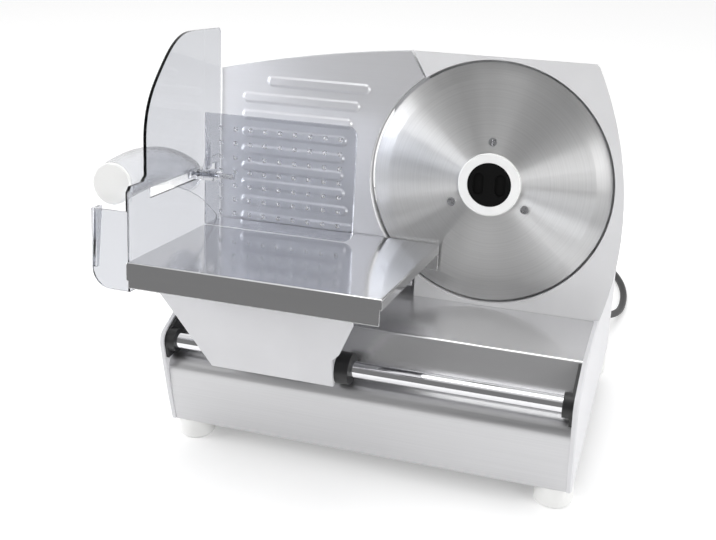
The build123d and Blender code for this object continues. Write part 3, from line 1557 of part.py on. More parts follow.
# Clear thumb guard: fin, low wall and skirt in one moulding
guard_x = blade_x + tray_left_s
with BuildPart() as thumb_guard:
    with BuildSketch(side_plane(guard_x)):
        with BuildLine():
            back = Line((guard_back_n, guard_bottom_t), (guard_back_n, guard_top_t - guard_corner))
            lead = Line(
                (guard_back_n + guard_corner, guard_top_t),
                (guard_shoulder_n, guard_top_t),
            )
            Line(back @ 1, lead @ 0)
            brow = Spline(
                (guard_shoulder_n, guard_top_t),
                (guard_brow_n, guard_brow_t),
                (guard_nose_n, guard_nose_t),
                tangents=((1, 0), (0, -1)),
            )
            Polyline(
                brow @ 1,
                (guard_nose_n, guard_low_t + guard_corner),
                (guard_step_n, guard_low_t),
                (guard_front_n - guard_corner, guard_low_t),
                (guard_front_n, guard_low_t - guard_corner),
                (guard_front_n, guard_bottom_t),
                (guard_back_n, guard_bottom_t),
            )
        make_face()
    extrude(amount=guard_thickness)
    with BuildSketch(blade_plane.offset(guard_front_n)):
        skirt_right = tray_left_s
        skirt_left = tray_left_s - guard_thickness - skirt_width
        with BuildLine():
            Polyline(
                (skirt_left + skirt_corner, guard_bottom_t),
                (skirt_right, guard_bottom_t),
                (skirt_right, skirt_top_t),
                (skirt_left, skirt_top_t),
                (skirt_left, guard_bottom_t + skirt_corner),
            )
            RadiusArc(
                (skirt_left, guard_bottom_t + skirt_corner),
                (skirt_left + skirt_corner, guard_bottom_t),
                -skirt_corner,
            )
        make_face()
    extrude(amount=-guard_thickness)
    with BuildSketch(side_plane(blade_x + skirt_left + guard_thickness)):
        with BuildLine():
            Polyline(
                (guard_front_n, guard_bottom_t + skirt_corner),
                (guard_front_n, skirt_top_t),
                (guard_front_n - skirt_return, skirt_top_t),
                (guard_front_n - skirt_return / 2, guard_bottom_t + skirt_corner),
                close=True,
            )
        make_face()
    extrude(amount=guard_thickness)
    slot_length = slot_front_n - slot_back_n
    with BuildSketch(side_plane(guard_x + overrun)):
        with Locations((slot_back_n + slot_length / 2, slot_low_t + slot_height / 2)):
            RectangleRounded(slot_length, slot_height, stem_gap)
    extrude(amount=overrun + skirt_return / 2, mode=Mode.SUBTRACT)
    strip_height = guard_top_t - guard_low_t + overrun
    with BuildSketch(side_plane(guard_x - guard_thickness + panel_relief)):
        with Locations((guard_strip_n - overrun, guard_low_t + strip_height / 2)):
            Rectangle(2 * overrun, strip_height)
    extrude(amount=panel_relief, mode=Mode.SUBTRACT)
    with BuildSketch(side_plane(guard_x + guard_thickness / 2)):
        with Locations(*[(n, guard_screw_t) for n in guard_screw_ns]):
            Circle(guard_screw_radius + seat_gap)
    extrude(amount=guard_thickness * 2, mode=Mode.SUBTRACT)
    with BuildSketch(side_plane(guard_x - guard_thickness + panel_relief)):
        with BuildLine():
            Spline(
                (panel_back_n, panel_low_t),
                (panel_mid_n, panel_mid_t),
                (panel_front_n, panel_front_t),
            )
            Polyline(
                (panel_front_n, panel_front_t),
                (panel_front_n, guard_bottom_t + guard_corner),
                (panel_back_n, guard_bottom_t + guard_corner),
                (panel_back_n, panel_low_t),
            )
        make_face()
        with Locations(*[(n, guard_screw_t) for n in guard_screw_ns]):
            Circle(guard_screw_head * 1.4, mode=Mode.SUBTRACT)
    extrude(amount=panel_relief, mode=Mode.SUBTRACT)
save(thumb_guard, "thumb_guard")

guard_outer_x = guard_x - guard_thickness
with BuildPart() as guard_screws:
    with BuildSketch(side_plane(guard_outer_x)):
        with Locations(*[(n, guard_screw_t) for n in guard_screw_ns]):
            Circle(guard_screw_head)
    extrude(amount=guard_screw_head_height)
    with BuildSketch(side_plane(guard_outer_x)):
        with Locations(*[(n, guard_screw_t) for n in guard_screw_ns]):
            Circle(guard_screw_radius)
    extrude(amount=-guard_screw_reach)
    with BuildSketch(side_plane(guard_x + tray_sheet)):
        with Locations(*[(n, guard_screw_t) for n in guard_screw_ns]):
            RegularPolygon(guard_screw_head * 1.1, 6)
    extrude(amount=-guard_screw_head_height * 1.5)
save(guard_screws, "guard_screws")

# Clear food pusher with rows of small teeth and its stem through the guard's slot
pusher_left_s = tray_left_s + pusher_side_gap
pusher_low_t = tray_t + pusher_floor_gap
pusher_mid = ((pusher_left_s + pusher_right_s) / 2, (pusher_low_t + pusher_top_t) / 2)
stem_low_t = slot_low_t + stem_gap
stem_height = slot_height - 2 * stem_gap
stem_middle_n = (stem_back_n + stem_front_n) / 2
pin_t = slot_low_t + slot_height / 2
teeth_plane = Plane(origin=spot(0, 0, pusher_n), x_dir=(-1, 0, 0), z_dir=-across)


def stem_section(gap):
    """Section of the pusher's stem in n and t, widened by the gap."""
    with BuildSketch(Plane.XY) as section:
        with Locations((stem_middle_n, pin_t)):
            Rectangle(stem_front_n - stem_back_n + 2 * gap, stem_height + 2 * gap)
    return section.sketch


with BuildPart() as food_pusher:
    with BuildSketch(blade_plane.offset(pusher_n)):
        with Locations(pusher_mid):
            Rectangle(pusher_right_s - pusher_left_s, pusher_top_t - pusher_low_t)
    extrude(amount=pusher_sheet)
    corners = food_pusher.edges().filter_by(Axis(blade_centre, across)).sort_by(Axis.X)[-2:]
    fillet(corners, radius=pusher_corner)
    with BuildSketch(teeth_plane):
        with Locations((-pusher_mid[0], pusher_mid[1])):
            with GridLocations(tooth_column_pitch, tooth_row_pitch, tooth_columns, tooth_rows):
                Rectangle(tooth_size, tooth_size)
    extrude(amount=tooth_height, taper=tooth_taper)
    with BuildSketch(side_plane(blade_x + stem_right_s)):
        add(stem_section(0))
    extrude(amount=stem_right_s - stem_left_s)
    with BuildSketch(side_plane(blade_x + gusset_s + gusset_width / 2)):
        with BuildLine():
            Polyline(
                (pusher_n + pusher_sheet / 2, gusset_top_t),
                (stem_front_n, pin_t),
                (pusher_n + pusher_sheet / 2, pin_t),
                close=True,
            )
        make_face()
    extrude(amount=gusset_width)
    with BuildSketch(side_plane(blade_x + pin_right_s)):
        with Locations((stem_middle_n, pin_t)):
            Circle(pin_radius + press_gap)
    extrude(amount=pin_right_s - pin_left_s, mode=Mode.SUBTRACT)
save(food_pusher, "food_pusher")

with BuildPart() as pusher_pin:
    with BuildSketch(side_plane(blade_x + pin_right_s)):
        with Locations((stem_middle_n, pin_t)):
            Circle(pin_radius)
    extrude(amount=pin_right_s - pin_left_s)
save(pusher_pin, "pusher_pin")


def handle_shape(wall, front_n, back_n):
    """Handle body, round in front and taller behind, drawn in by the wall."""
    with BuildPart() as shape:
        with BuildSketch(blade_plane.offset(front_n)):
            with Locations((handle_s, handle_t)):
                Circle(handle_radius - wall)
        with BuildSketch(blade_plane.offset(handle_waist_n)):
            with Locations((handle_s, handle_waist_t)):
                Circle(handle_radius - wall)
        with BuildSketch(blade_plane.offset(back_n)):
            with Locations((handle_s, handle_back_t)):
                Ellipse(handle_back_width / 2 - wall, handle_back_height / 2 - wall)
        loft()
    return shape.part


disc_back_n = handle_front_n - disc_thickness
with BuildPart() as pusher_handle:
    add(handle_shape(0, disc_back_n, handle_back_n))
    add(handle_shape(handle_wall, disc_back_n, handle_back_n + handle_wall), mode=Mode.SUBTRACT)
    with BuildSketch(side_plane(blade_x + stem_right_s)):
        add(stem_section(press_gap))
    extrude(amount=stem_right_s - stem_left_s + press_gap, mode=Mode.SUBTRACT)
save(pusher_handle, "pusher_handle")

with BuildPart() as handle_cap:
    with BuildSketch(blade_plane.offset(disc_back_n)):
        with Locations((handle_s, handle_t)):
            Circle(handle_radius)
    extrude(amount=disc_thickness)
    chamfer(handle_cap.faces().sort_by(Axis(blade_centre, across))[-1].edges(), length=disc_thickness / 3)
    with BuildSketch(blade_plane.offset(disc_back_n)):
        with Locations((handle_s, handle_t)):
            Circle(handle_radius - handle_wall - 5 * seat_gap)
            Circle(handle_radius - 2 * handle_wall, mode=Mode.SUBTRACT)
    extrude(amount=-disc_thickness)
save(handle_cap, "handle_cap")

# Carriage foot: leaning front panel, rail bosses, two ribs with arms, and the tray flange
panel_low_y = front_y - foot_panel_ahead
panel_high_y = front_y - foot_panel_top_ahead
flange_t = tray_t - tray_sheet
under_tray = Plane(origin=spot(0, flange_t, 0), x_dir=(1, 0, 0), z_dir=uphill)
boss_starts = (foot_right_low_x - rail_boss_length, foot_left_low_x)
flange_screws = [
    (s, n)
    for s in (flange_left_s + flange_screw_inset * 2, flange_right_s - flange_screw_inset)
    for n in (flange_back_n + flange_screw_inset, flange_front_n - flange_screw_inset * 2)
]
rib_low_z = shelf_top + pad_gap + pad_thickness
slope_along = atan2(shelf_z - groove_top_z, shelf_front_y - groove_y)
slope_y = -rib_clearance * sin(slope_along)
slope_up = rib_clearance * cos(slope_along)
rib_starts = (rib_right_x, foot_left_low_x)
with BuildPart() as carriage_foot:
    with BuildSketch(Plane.YZ.offset(foot_left_high_x)):
        with BuildLine():
            lean_y = panel_high_y - (panel_low_y - panel_high_y) * 0.2
            lean_z = foot_panel_top_z + (foot_panel_top_z - foot_panel_bottom_z) * 0.2
            Polyline(
                (panel_low_y, foot_panel_bottom_z),
                (panel_low_y + foot_panel, foot_panel_bottom_z),
                (lean_y + foot_panel, lean_z),
                (lean_y, lean_z),
                close=True,
            )
        make_face()
    extrude(amount=foot_right_high_x - foot_left_high_x)
    with BuildSketch(Plane.XZ):
        with BuildLine():
            Polyline(
                (foot_left_low_x, foot_panel_bottom_z),
                (foot_right_low_x, foot_panel_bottom_z),
                (foot_right_low_x, foot_right_low_z),
                (foot_right_step_x, foot_right_step_z),
                (foot_right_high_x, foot_right_break_z),
                (foot_right_high_x, lean_z),
                (foot_left_high_x, lean_z),
                (foot_left_high_x, foot_left_break_z),
                close=True,
            )
        make_face()
    extrude(amount=base_depth, both=True, mode=Mode.INTERSECT)
    for x in boss_starts:
        with BuildSketch(Plane.YZ.offset(x)):
            with Locations((rail_y, rail_z)):
                Circle(rail_boss_radius)
        extrude(amount=rail_boss_length)
    for x in rib_starts:
        with BuildSketch(Plane.YZ.offset(x)):
            with BuildLine():
                Polyline(
                    (panel_low_y + foot_panel / 2, rail_z),
                    (rail_y, rail_z),
                    (groove_y + slope_y, groove_top_z + slope_up),
                    (shelf_front_y + slope_y, rib_low_z),
                    (front_y + arm_rear, rib_low_z),
                    (front_y + arm_rear, rib_low_z + arm_height),
                    (front_y + arm_rear - arm_inset, rib_low_z + arm_rise),
                    (front_y + arm_rear - arm_inset, lean_z),
                    (panel_high_y + foot_panel / 2, lean_z),
                    close=True,
                )
            make_face()
        extrude(amount=rib_thickness)
    with BuildSketch(upright_plane(0, flange_t, 0)):
        with Locations(((flange_left_s + flange_right_s) / 2, -(flange_back_n + flange_front_n) / 2)):
            Rectangle(flange_right_s - flange_left_s, flange_front_n - flange_back_n)
    extrude(amount=-flange_thickness)
    split(bisect_by=under_tray, keep=Keep.BOTTOM)
    for x in boss_starts:
        with BuildSketch(Plane.YZ.offset(x)):
            with Locations((rail_y, rail_z)):
                Circle(rail_radius + rail_bush_wall + press_gap)
        extrude(amount=rail_boss_length, mode=Mode.SUBTRACT)
    with BuildSketch(Plane.YZ.offset(rib_right_x)):
        with Locations((rail_y, rail_z)):
            Circle(rail_radius + rail_bush_wall)
    extrude(amount=rib_thickness, mode=Mode.SUBTRACT)
    with BuildSketch(upright_plane(0, flange_t, 0)):
        with Locations(*[(s, -n) for s, n in flange_screws]):
            Circle(tray_screw_radius + seat_gap)
    extrude(amount=-flange_thickness, mode=Mode.SUBTRACT)
save(carriage_foot, "carriage_foot")

with BuildPart() as carriage_bushes:
    for x, flange_x, flange, flange_radius in (
        (boss_starts[0], foot_right_low_x, bush_flange_right, rail_boss_radius),
        (boss_starts[1], foot_left_low_x, -bush_flange_left, bush_flange_left_radius),
    ):
        with BuildSketch(Plane.YZ.offset(x)):
            with Locations((rail_y, rail_z)):
                Circle(rail_radius + rail_bush_wall)
        extrude(amount=rail_boss_length)
        with BuildSketch(Plane.YZ.offset(flange_x)):
            with Locations((rail_y, rail_z)):
                Circle(flange_radius)
        extrude(amount=flange)
        with BuildSketch(Plane.YZ.offset(x - overrun)):
            with Locations((rail_y, rail_z)):
                Circle(rail_radius + run_gap)
        extrude(amount=rail_boss_length + 2 * overrun, mode=Mode.SUBTRACT)
save(carriage_bushes, "carriage_bushes")

with BuildPart() as glide_pads:
    with BuildSketch(Plane.XY.offset(rib_low_z - pad_thickness)):
        with Locations(*[(x + rib_thickness / 2, front_y + (pad_front + pad_rear) / 2) for x in rib_starts]):
            SlotOverall(pad_rear - pad_front, pad_width, rotation=90)
    extrude(amount=pad_thickness)
save(glide_pads, "glide_pads")

with BuildPart() as tray_screws:
    with BuildSketch(upright_plane(0, flange_t - flange_thickness, 0)):
        with Locations(*[(s, -n) for s, n in flange_screws]):
            Circle(tray_screw_head)
    extrude(amount=-tray_screw_head_height)
    with BuildSketch(upright_plane(0, flange_t - flange_thickness, 0)):
        with Locations(*[(s, -n) for s, n in flange_screws]):
            Circle(tray_screw_radius)
    extrude(amount=flange_thickness)
save(tray_screws, "tray_screws")

# Strain relief in the rear wall
rear_wall_y = back_y - panel_setback
relief_tip_y = rear_wall_y + relief_length
with BuildPart() as strain_relief:
    with BuildSketch(Plane.XY.offset(relief_z)):
        with BuildLine():
            Polyline(
                (relief_x, rear_wall_y - relief_inside),
                (relief_x + relief_radius, rear_wall_y - relief_inside),
                (relief_x + relief_radius, rear_wall_y),
                (relief_x + relief_flange_radius, rear_wall_y),
                (relief_x + relief_flange_radius, rear_wall_y + relief_flange),
                (relief_x + relief_radius, rear_wall_y + relief_flange),
                (relief_x + relief_tip_radius, relief_tip_y),
                (relief_x, relief_tip_y),
                close=True,
            )
        make_face()
    revolve(axis=Axis((relief_x, 0, relief_z), (0, 1, 0)))
save(strain_relief, "strain_relief")

# Free cord: straight runs joined by tangent arcs
cord_points = [Vector(relief_x, relief_tip_y, relief_z)]
for run, heading, drop in cord_runs:
    level = sqrt(run ** 2 - drop ** 2)
    step = Vector(-level * sin(radians(heading)), level * cos(radians(heading)), -drop)
    cord_points.append(cord_points[-1] + step)
cord_z = cord_points[-1].Z
cord_arcs = []
for before, corner, after in zip(cord_points, cord_points[1:], cord_points[2:]):
    half_turn = radians((corner - before).get_angle(after - corner)) / 2
    shorter = min((corner - before).length, (after - corner).length)
    cord_arcs.append(0.45 * shorter / tan(half_turn))
print("cord arc radii", [round(radius, 1) for radius in cord_arcs])


def tube(line, name):
    """Sweep the cord's section along a line and report its volume against section times length."""
    with BuildPart() as swept:
        with BuildLine():
            add(line)
        with BuildSketch(Plane(origin=line @ 0, z_dir=line % 0)):
            RegularPolygon(cord_radius, cord_sides)
        sweep()
    section = cord_sides / 2 * cord_radius ** 2 * sin(2 * pi / cord_sides)
    share = swept.part.volume / (section * line.length)
    print(name, "length", round(line.length, 1), "volume share", round(share, 4))
    return swept


with BuildLine() as cord_path:
    FilletPolyline(*cord_points, radius=cord_arcs)
save(tube(cord_path.wire(), "power_cord"), "power_cord")

# Coil: spirals in on the table, climbs a layer and spirals out again
coil_start = cord_points[-1]
coil_x = coil_start.X - coil_radius
coil_y = coil_start.Y - 2 * cord_radius
with BuildLine() as coil_path:
    Line(coil_start, (coil_start.X, coil_y, cord_z))
    end_x = coil_radius
    side = 1
    level_z = cord_z
    shrink = coil_pitch / 2
    radii = [coil_radius - shrink * k for k in range(coil_half_turns + 1)]
    steps = [(radius, 0) for radius in radii[:-1]] + [(radii[-1], coil_layer)]
    steps += [(radius, 0) for radius in radii[-2::-1]]
    for radius, climb in steps:
        next_x = end_x - side * 2 * radius
        bow = radius if climb == 0 else hypot(radius, climb / 2)
        ThreePointArc(
            (coil_x + end_x, coil_y, level_z),
            (coil_x + (end_x + next_x) / 2, coil_y - side * bow, level_z + climb / 2),
            (coil_x + next_x, coil_y, level_z + climb),
        )
        end_x = next_x
        side = -side
        level_z += climb
    Line((coil_x + end_x, coil_y, level_z), (coil_x + end_x, coil_y + 2 * cord_radius, level_z))
coil_wire = coil_path.wire()
samples = 720
coil_dots = [coil_wire @ (i / samples) for i in range(samples + 1)]
apart = ceil(4 * cord_radius * samples / coil_wire.length)
least = min(
    (coil_dots[j] - coil_dots[i]).length
    for i in range(samples + 1)
    for j in range(i + apart, samples + 1)
    if abs(coil_dots[j].X - coil_dots[i].X) < coil_pitch * 2
)
print("coil least gap", round(least - 2 * cord_radius, 2))
save(tube(coil_wire, "cord_coil"), "cord_coil")

# Plug beside the coil
plug_start = coil_wire @ 1
plug_height = 2 * (level_z - cord_bed)
plug_front_y = plug_start.Y + plug_relief + plug_length
with BuildPart() as plug_body:
    with BuildSketch(Plane(origin=plug_start, x_dir=(1, 0, 0), z_dir=(0, 1, 0))):
        Circle(plug_relief_radius)
    with BuildSketch(Plane(origin=plug_start + Vector(0, plug_relief, 0), x_dir=(1, 0, 0), z_dir=(0, 1, 0))):
        Circle(plug_relief_end_radius)
    loft(ruled=True)
    with BuildSketch(Plane(origin=plug_start + Vector(0, plug_relief, 0), x_dir=(1, 0, 0), z_dir=(0, 1, 0))):
        RectangleRounded(plug_nose_width, plug_height, plug_corner)
    with BuildSketch(Plane(origin=(plug_start.X, plug_front_y, level_z), x_dir=(1, 0, 0), z_dir=(0, 1, 0))):
        RectangleRounded(plug_width, plug_height, plug_corner)
    loft(ruled=True)
save(plug_body, "plug_body")

with BuildPart() as plug_pins:
    with BuildSketch(Plane(origin=(plug_start.X, plug_front_y, level_z), x_dir=(1, 0, 0), z_dir=(0, 1, 0))):
        with GridLocations(plug_blade_spacing, 0, 2, 1):
            Rectangle(plug_blade_thickness, plug_blade_width)
    extrude(amount=plug_blade_length)
save(plug_pins, "plug_pins")
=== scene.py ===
from math import cos, pi, radians, sin, sqrt

import bmesh
import bpy
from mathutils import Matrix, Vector


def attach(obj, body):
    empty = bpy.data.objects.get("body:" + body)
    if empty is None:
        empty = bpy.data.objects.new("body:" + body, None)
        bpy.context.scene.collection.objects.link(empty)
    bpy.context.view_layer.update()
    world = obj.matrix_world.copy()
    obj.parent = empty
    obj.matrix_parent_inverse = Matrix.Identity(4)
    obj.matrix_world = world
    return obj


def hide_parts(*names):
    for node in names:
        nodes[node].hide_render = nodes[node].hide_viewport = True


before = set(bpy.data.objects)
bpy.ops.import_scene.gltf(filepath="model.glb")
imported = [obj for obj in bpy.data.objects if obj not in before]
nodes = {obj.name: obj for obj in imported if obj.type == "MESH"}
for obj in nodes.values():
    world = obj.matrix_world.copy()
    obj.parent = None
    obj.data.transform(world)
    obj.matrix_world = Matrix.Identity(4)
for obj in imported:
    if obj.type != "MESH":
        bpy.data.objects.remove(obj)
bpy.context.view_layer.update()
scene = bpy.context.scene

# Places shared with the model, in metres
right_x = 0.17632
front_y = -0.09043
base_depth = 0.238
back_y = front_y + base_depth
lean = radians(8.5)
across = Vector((0, -cos(lean), sin(lean)))
blade_from_right = 0.0966
blade_from_front = 0.1137
blade_z = 0.2122
blade_centre = Vector((right_x - blade_from_right, front_y + blade_from_front, blade_z))

# Camera, fitted to the photograph
frame_width_px = 716
focal_length_px = 1060.36
camera_height = radians(24.84)
camera_turn = radians(18.39)
camera_data = bpy.data.cameras.new("camera")
camera_data.sensor_width = 36
camera_data.lens = focal_length_px / frame_width_px * camera_data.sensor_width
camera_data.clip_start = 0.01
camera = bpy.data.objects.new("camera", camera_data)
scene.collection.objects.link(camera)
camera.location = (0.22968, -0.75592, 0.50231)
camera.rotation_euler = (pi / 2 - camera_height, 0, camera_turn)
scene.camera = camera


# Node helpers
def new_material(name, colour, rough, metal=0.0, **inputs):
    """Material with a Principled shader; extra inputs are given by their socket names."""
    made = bpy.data.materials.new(name)
    made.use_nodes = True
    shader = made.node_tree.nodes["Principled BSDF"]
    shader.inputs["Base Color"].default_value = (*colour, 1)
    shader.inputs["Roughness"].default_value = rough
    shader.inputs["Metallic"].default_value = metal
    for socket, value in inputs.items():
        shader.inputs[socket.replace("_", " ")].default_value = value
    return made, made.node_tree, shader


def add_node(tree, kind, **settings):
    node = tree.nodes.new("ShaderNode" + kind)
    for key, value in settings.items():
        setattr(node, key, value)
    return node


def object_coords(tree, stretch=(1, 1, 1)):
    """Coordinates fixed to the piece, in metres, stretched axis by axis."""
    coords = add_node(tree, "TexCoord")
    mapping = add_node(tree, "Mapping")
    mapping.inputs["Scale"].default_value = stretch
    tree.links.new(coords.outputs["Object"], mapping.inputs["Vector"])
    return mapping.outputs["Vector"]


def noise(tree, coords, scale, detail=3.0):
    texture = add_node(tree, "TexNoise")
    texture.inputs["Scale"].default_value = scale
    texture.inputs["Detail"].default_value = detail
    tree.links.new(coords, texture.inputs["Vector"])
    return texture.outputs["Fac"]


def spread(tree, value, low, high):
    """Value from about 0.3 to 0.7 spread out between low and high."""
    ranged = add_node(tree, "MapRange")
    ranged.inputs["From Min"].default_value = 0.3
    ranged.inputs["From Max"].default_value = 0.7
    ranged.inputs["To Min"].default_value = low
    ranged.inputs["To Max"].default_value = high
    tree.links.new(value, ranged.inputs["Value"])
    return ranged.outputs["Result"]


def tint(tree, shader, value, colour, low, high):
    """Base colour that varies between low and high times the colour."""
    ramp = add_node(tree, "ValToRGB")
    ramp.color_ramp.elements[0].position = 0.3
    ramp.color_ramp.elements[1].position = 0.7
    ramp.color_ramp.elements[0].color = (*[min(1, c * low) for c in colour], 1)
    ramp.color_ramp.elements[1].color = (*[min(1, c * high) for c in colour], 1)
    tree.links.new(value, ramp.inputs["Fac"])
    tree.links.new(ramp.outputs["Color"], shader.inputs["Base Color"])


def bump(tree, shader, value, distance, strength=1.0, soft_edge=0.0):
    """Bump over the shader's normal, on softened edges where a radius is given."""
    bumped = add_node(tree, "Bump")
    bumped.inputs["Strength"].default_value = strength
    bumped.inputs["Distance"].default_value = distance
    tree.links.new(value, bumped.inputs["Height"])
    if soft_edge:
        bevel = add_node(tree, "Bevel", samples=4)
        bevel.inputs["Radius"].default_value = soft_edge
        tree.links.new(bevel.outputs["Normal"], bumped.inputs["Normal"])
    tree.links.new(bumped.outputs["Normal"], shader.inputs["Normal"])


def moulded(name, colour, rough, soft_edge=0.0006, grain=0.00002, metal=0.0, **inputs):
    """Moulded plastic or rubber: fine grain, faint colour drift and uneven gloss."""
    made, tree, shader = new_material(name, colour, rough, metal, **inputs)
    coords = object_coords(tree)
    drift = noise(tree, coords, 25)
    tint(tree, shader, drift, colour, 0.97, 1.02)
    tree.links.new(spread(tree, drift, rough * 0.92, rough * 1.1), shader.inputs["Roughness"])
    bump(tree, shader, noise(tree, coords, 1400, 2), grain, soft_edge=soft_edge)
    return made


def brushed(
    name, colour, rough, stretch, soft_edge=0.0, depth=0.00001, spread_by=0.12, tone=0.04, metal=1.0
):
    """Brushed metal: long thin streaks in its gloss, colour and surface."""
    made, tree, shader = new_material(name, colour, rough, metal)
    streaks = noise(tree, object_coords(tree, stretch), 1, 4)
    tint(tree, shader, streaks, colour, 1 - tone, 1 + tone)
    uneven = spread(tree, streaks, rough - spread_by / 2, rough + spread_by / 2)
    tree.links.new(uneven, shader.inputs["Roughness"])
    bump(tree, shader, streaks, depth, soft_edge=soft_edge)
    return made


def turned(name, colour, rough, centre, grooves, sectors, tone=0.05):
    """Disc of steel with circular grooves: its gloss spreads along the radius."""
    made, tree, shader = new_material(name, colour, rough, 1.0, Anisotropic=0.9)
    coords = add_node(tree, "TexCoord")
    away = add_node(tree, "VectorMath", operation="SUBTRACT")
    away.inputs[1].default_value = centre
    tree.links.new(coords.outputs["Object"], away.inputs[0])
    unit = add_node(tree, "VectorMath", operation="NORMALIZE")
    tree.links.new(away.outputs[0], unit.inputs[0])
    tree.links.new(unit.outputs[0], shader.inputs["Tangent"])
    radius = add_node(tree, "VectorMath", operation="LENGTH")
    tree.links.new(away.outputs[0], radius.inputs[0])
    rings = add_node(tree, "TexNoise", noise_dimensions="1D")
    rings.inputs["Scale"].default_value = grooves
    rings.inputs["Detail"].default_value = 4
    tree.links.new(radius.outputs["Value"], rings.inputs["W"])
    fan = noise(tree, unit.outputs[0], sectors, 2)
    tint(tree, shader, rings.outputs["Fac"], colour, 1 - tone, 1 + tone)
    tree.links.new(spread(tree, fan, rough * 0.85, rough * 1.15), shader.inputs["Roughness"])
    return made


def painted_side_highlight(made, highlight, direction, start, end):
    """Painted highlight: a lighter copy of the finish, given in full to faces square to the direction
    (edges, lips, rib sides), fading out so faces that look along it (or against it) keep the first
    finish.
    """
    tree = made.node_tree
    shader = tree.nodes["Principled BSDF"]
    highlight_shader = tree.nodes.new("ShaderNodeBsdfPrincipled")
    highlight_shader.inputs["Base Color"].default_value = (*highlight["colour"], 1)
    highlight_shader.inputs["Roughness"].default_value = highlight["rough"]
    highlight_shader.inputs["Metallic"].default_value = highlight["metal"]
    geometry = add_node(tree, "NewGeometry")
    dot = add_node(tree, "VectorMath", operation="DOT_PRODUCT")
    dot.inputs[1].default_value = direction
    tree.links.new(geometry.outputs["True Normal"], dot.inputs[0])
    size = add_node(tree, "Math", operation="ABSOLUTE")
    tree.links.new(dot.outputs["Value"], size.inputs[0])
    ranged = add_node(tree, "MapRange")
    ranged.inputs["From Min"].default_value = start
    ranged.inputs["From Max"].default_value = end
    tree.links.new(size.outputs[0], ranged.inputs["Value"])
    mixed = add_node(tree, "MixShader")
    tree.links.new(ranged.outputs["Result"], mixed.inputs["Fac"])
    tree.links.new(highlight_shader.outputs["BSDF"], mixed.inputs[1])
    tree.links.new(shader.outputs["BSDF"], mixed.inputs[2])
    tree.links.new(mixed.outputs["Shader"], tree.nodes["Material Output"].inputs["Surface"])


def clear(name, colour, rough, soft_edge=0.0008):
    """Clear plastic that lets light through onto what is behind it."""
    made, tree, shader = new_material(name, colour, rough, 0.0, Transmission_Weight=1.0, IOR=1.3)
    coords = object_coords(tree)
    drift = noise(tree, coords, 30)
    tree.links.new(spread(tree, drift, rough * 0.7, rough * 1.3), shader.inputs["Roughness"])
    bump(tree, shader, noise(tree, coords, 60, 1), 0.00002, soft_edge=soft_edge)
    path = add_node(tree, "LightPath")
    through = add_node(tree, "BsdfTransparent")
    through.inputs["Color"].default_value = (0.86, 0.87, 0.89, 1)
    mixed = add_node(tree, "MixShader")
    out = tree.nodes["Material Output"]
    tree.links.new(path.outputs["Is Shadow Ray"], mixed.inputs["Fac"])
    tree.links.new(shader.outputs["BSDF"], mixed.inputs[1])
    tree.links.new(through.outputs["BSDF"], mixed.inputs[2])
    tree.links.new(mixed.outputs["Shader"], out.inputs["Surface"])
    return made


# Materials
front_sheet = brushed("brushed_panel_steel", (0.59, 0.59, 0.60), 0.40, (10, 1500, 1500), spread_by=0.1)
shelf_sheet = brushed(
    "polished_panel_steel", (0.78, 0.78, 0.79), 0.26, (600, 8, 8),
    spread_by=0.02, tone=0.004, metal=0.85, depth=0,
)
tray_sheet = brushed(
    "polished_tray_steel", (0.80, 0.80, 0.81), 0.12, (10, 900, 900),
    soft_edge=0.0008, spread_by=0.04, tone=0.01, depth=0.000002,
)
blade_steel = turned("turned_blade_steel", (0.86, 0.86, 0.86), 0.40, blade_centre, 700, 5, tone=0.03)
housing_plastic = moulded("silver_housing_plastic", (0.71, 0.71, 0.72), 0.38, Specular_IOR_Level=0.45)
gauge_sheet = brushed(
    "satin_gauge_sheet", (0.70, 0.70, 0.72), 0.32, (14, 700, 700),
    soft_edge=0.0018, tone=0.01, metal=0.45, depth=0, spread_by=0.03,
)
# Painted highlight: the gauge plate's edges, lip and rib sides get a lighter, matt copy of its satin
# finish.
painted_side_highlight(gauge_sheet, dict(colour=(0.80, 0.80, 0.81), rough=0.4, metal=0.0), across, 0.1, 0.3)
foot_plastic = moulded("light_grey_plastic", (0.70, 0.70, 0.72), 0.42)
white_plastic = moulded("smooth_white_plastic", (0.92, 0.92, 0.91), 0.22)
black_plastic = moulded("black_plastic", (0.012, 0.012, 0.013), 0.42)
cap_plastic = moulded("matt_black_plastic", (0.005, 0.005, 0.005), 0.7, Specular_IOR_Level=0.08)
dark_plastic = moulded("dark_grey_plastic", (0.055, 0.055, 0.06), 0.5)
foot_rubber = moulded("pale_rubber", (0.84, 0.84, 0.83), 0.6)
cord_rubber = moulded("black_cord_rubber", (0.010, 0.010, 0.011), 0.48, soft_edge=0)
rail_chrome = brushed(
    "rail_chrome", (0.80, 0.80, 0.82), 0.08, (8, 300, 300),
    spread_by=0.04, tone=0.01, depth=0,
)
plain_steel = brushed("plain_steel", (0.56, 0.56, 0.58), 0.28, (400, 400, 400), soft_edge=0.0003)
bronze = brushed("sintered_bronze", (0.52, 0.34, 0.15), 0.42, (900, 900, 900))
copper = brushed("enamelled_copper", (0.48, 0.18, 0.08), 0.35, (200, 1400, 200), depth=0.0001)
iron = brushed("laminated_iron", (0.18, 0.18, 0.20), 0.5, (20, 20, 1600), depth=0.0001)
alloy = moulded("cast_alloy", (0.42, 0.42, 0.44), 0.45, metal=1.0, grain=0.00006)
smoke_plastic = clear("clear_smoke_plastic", (0.64, 0.65, 0.68), 0.05)
clear_plastic = clear("clear_plastic", (0.88, 0.885, 0.90), 0.16)

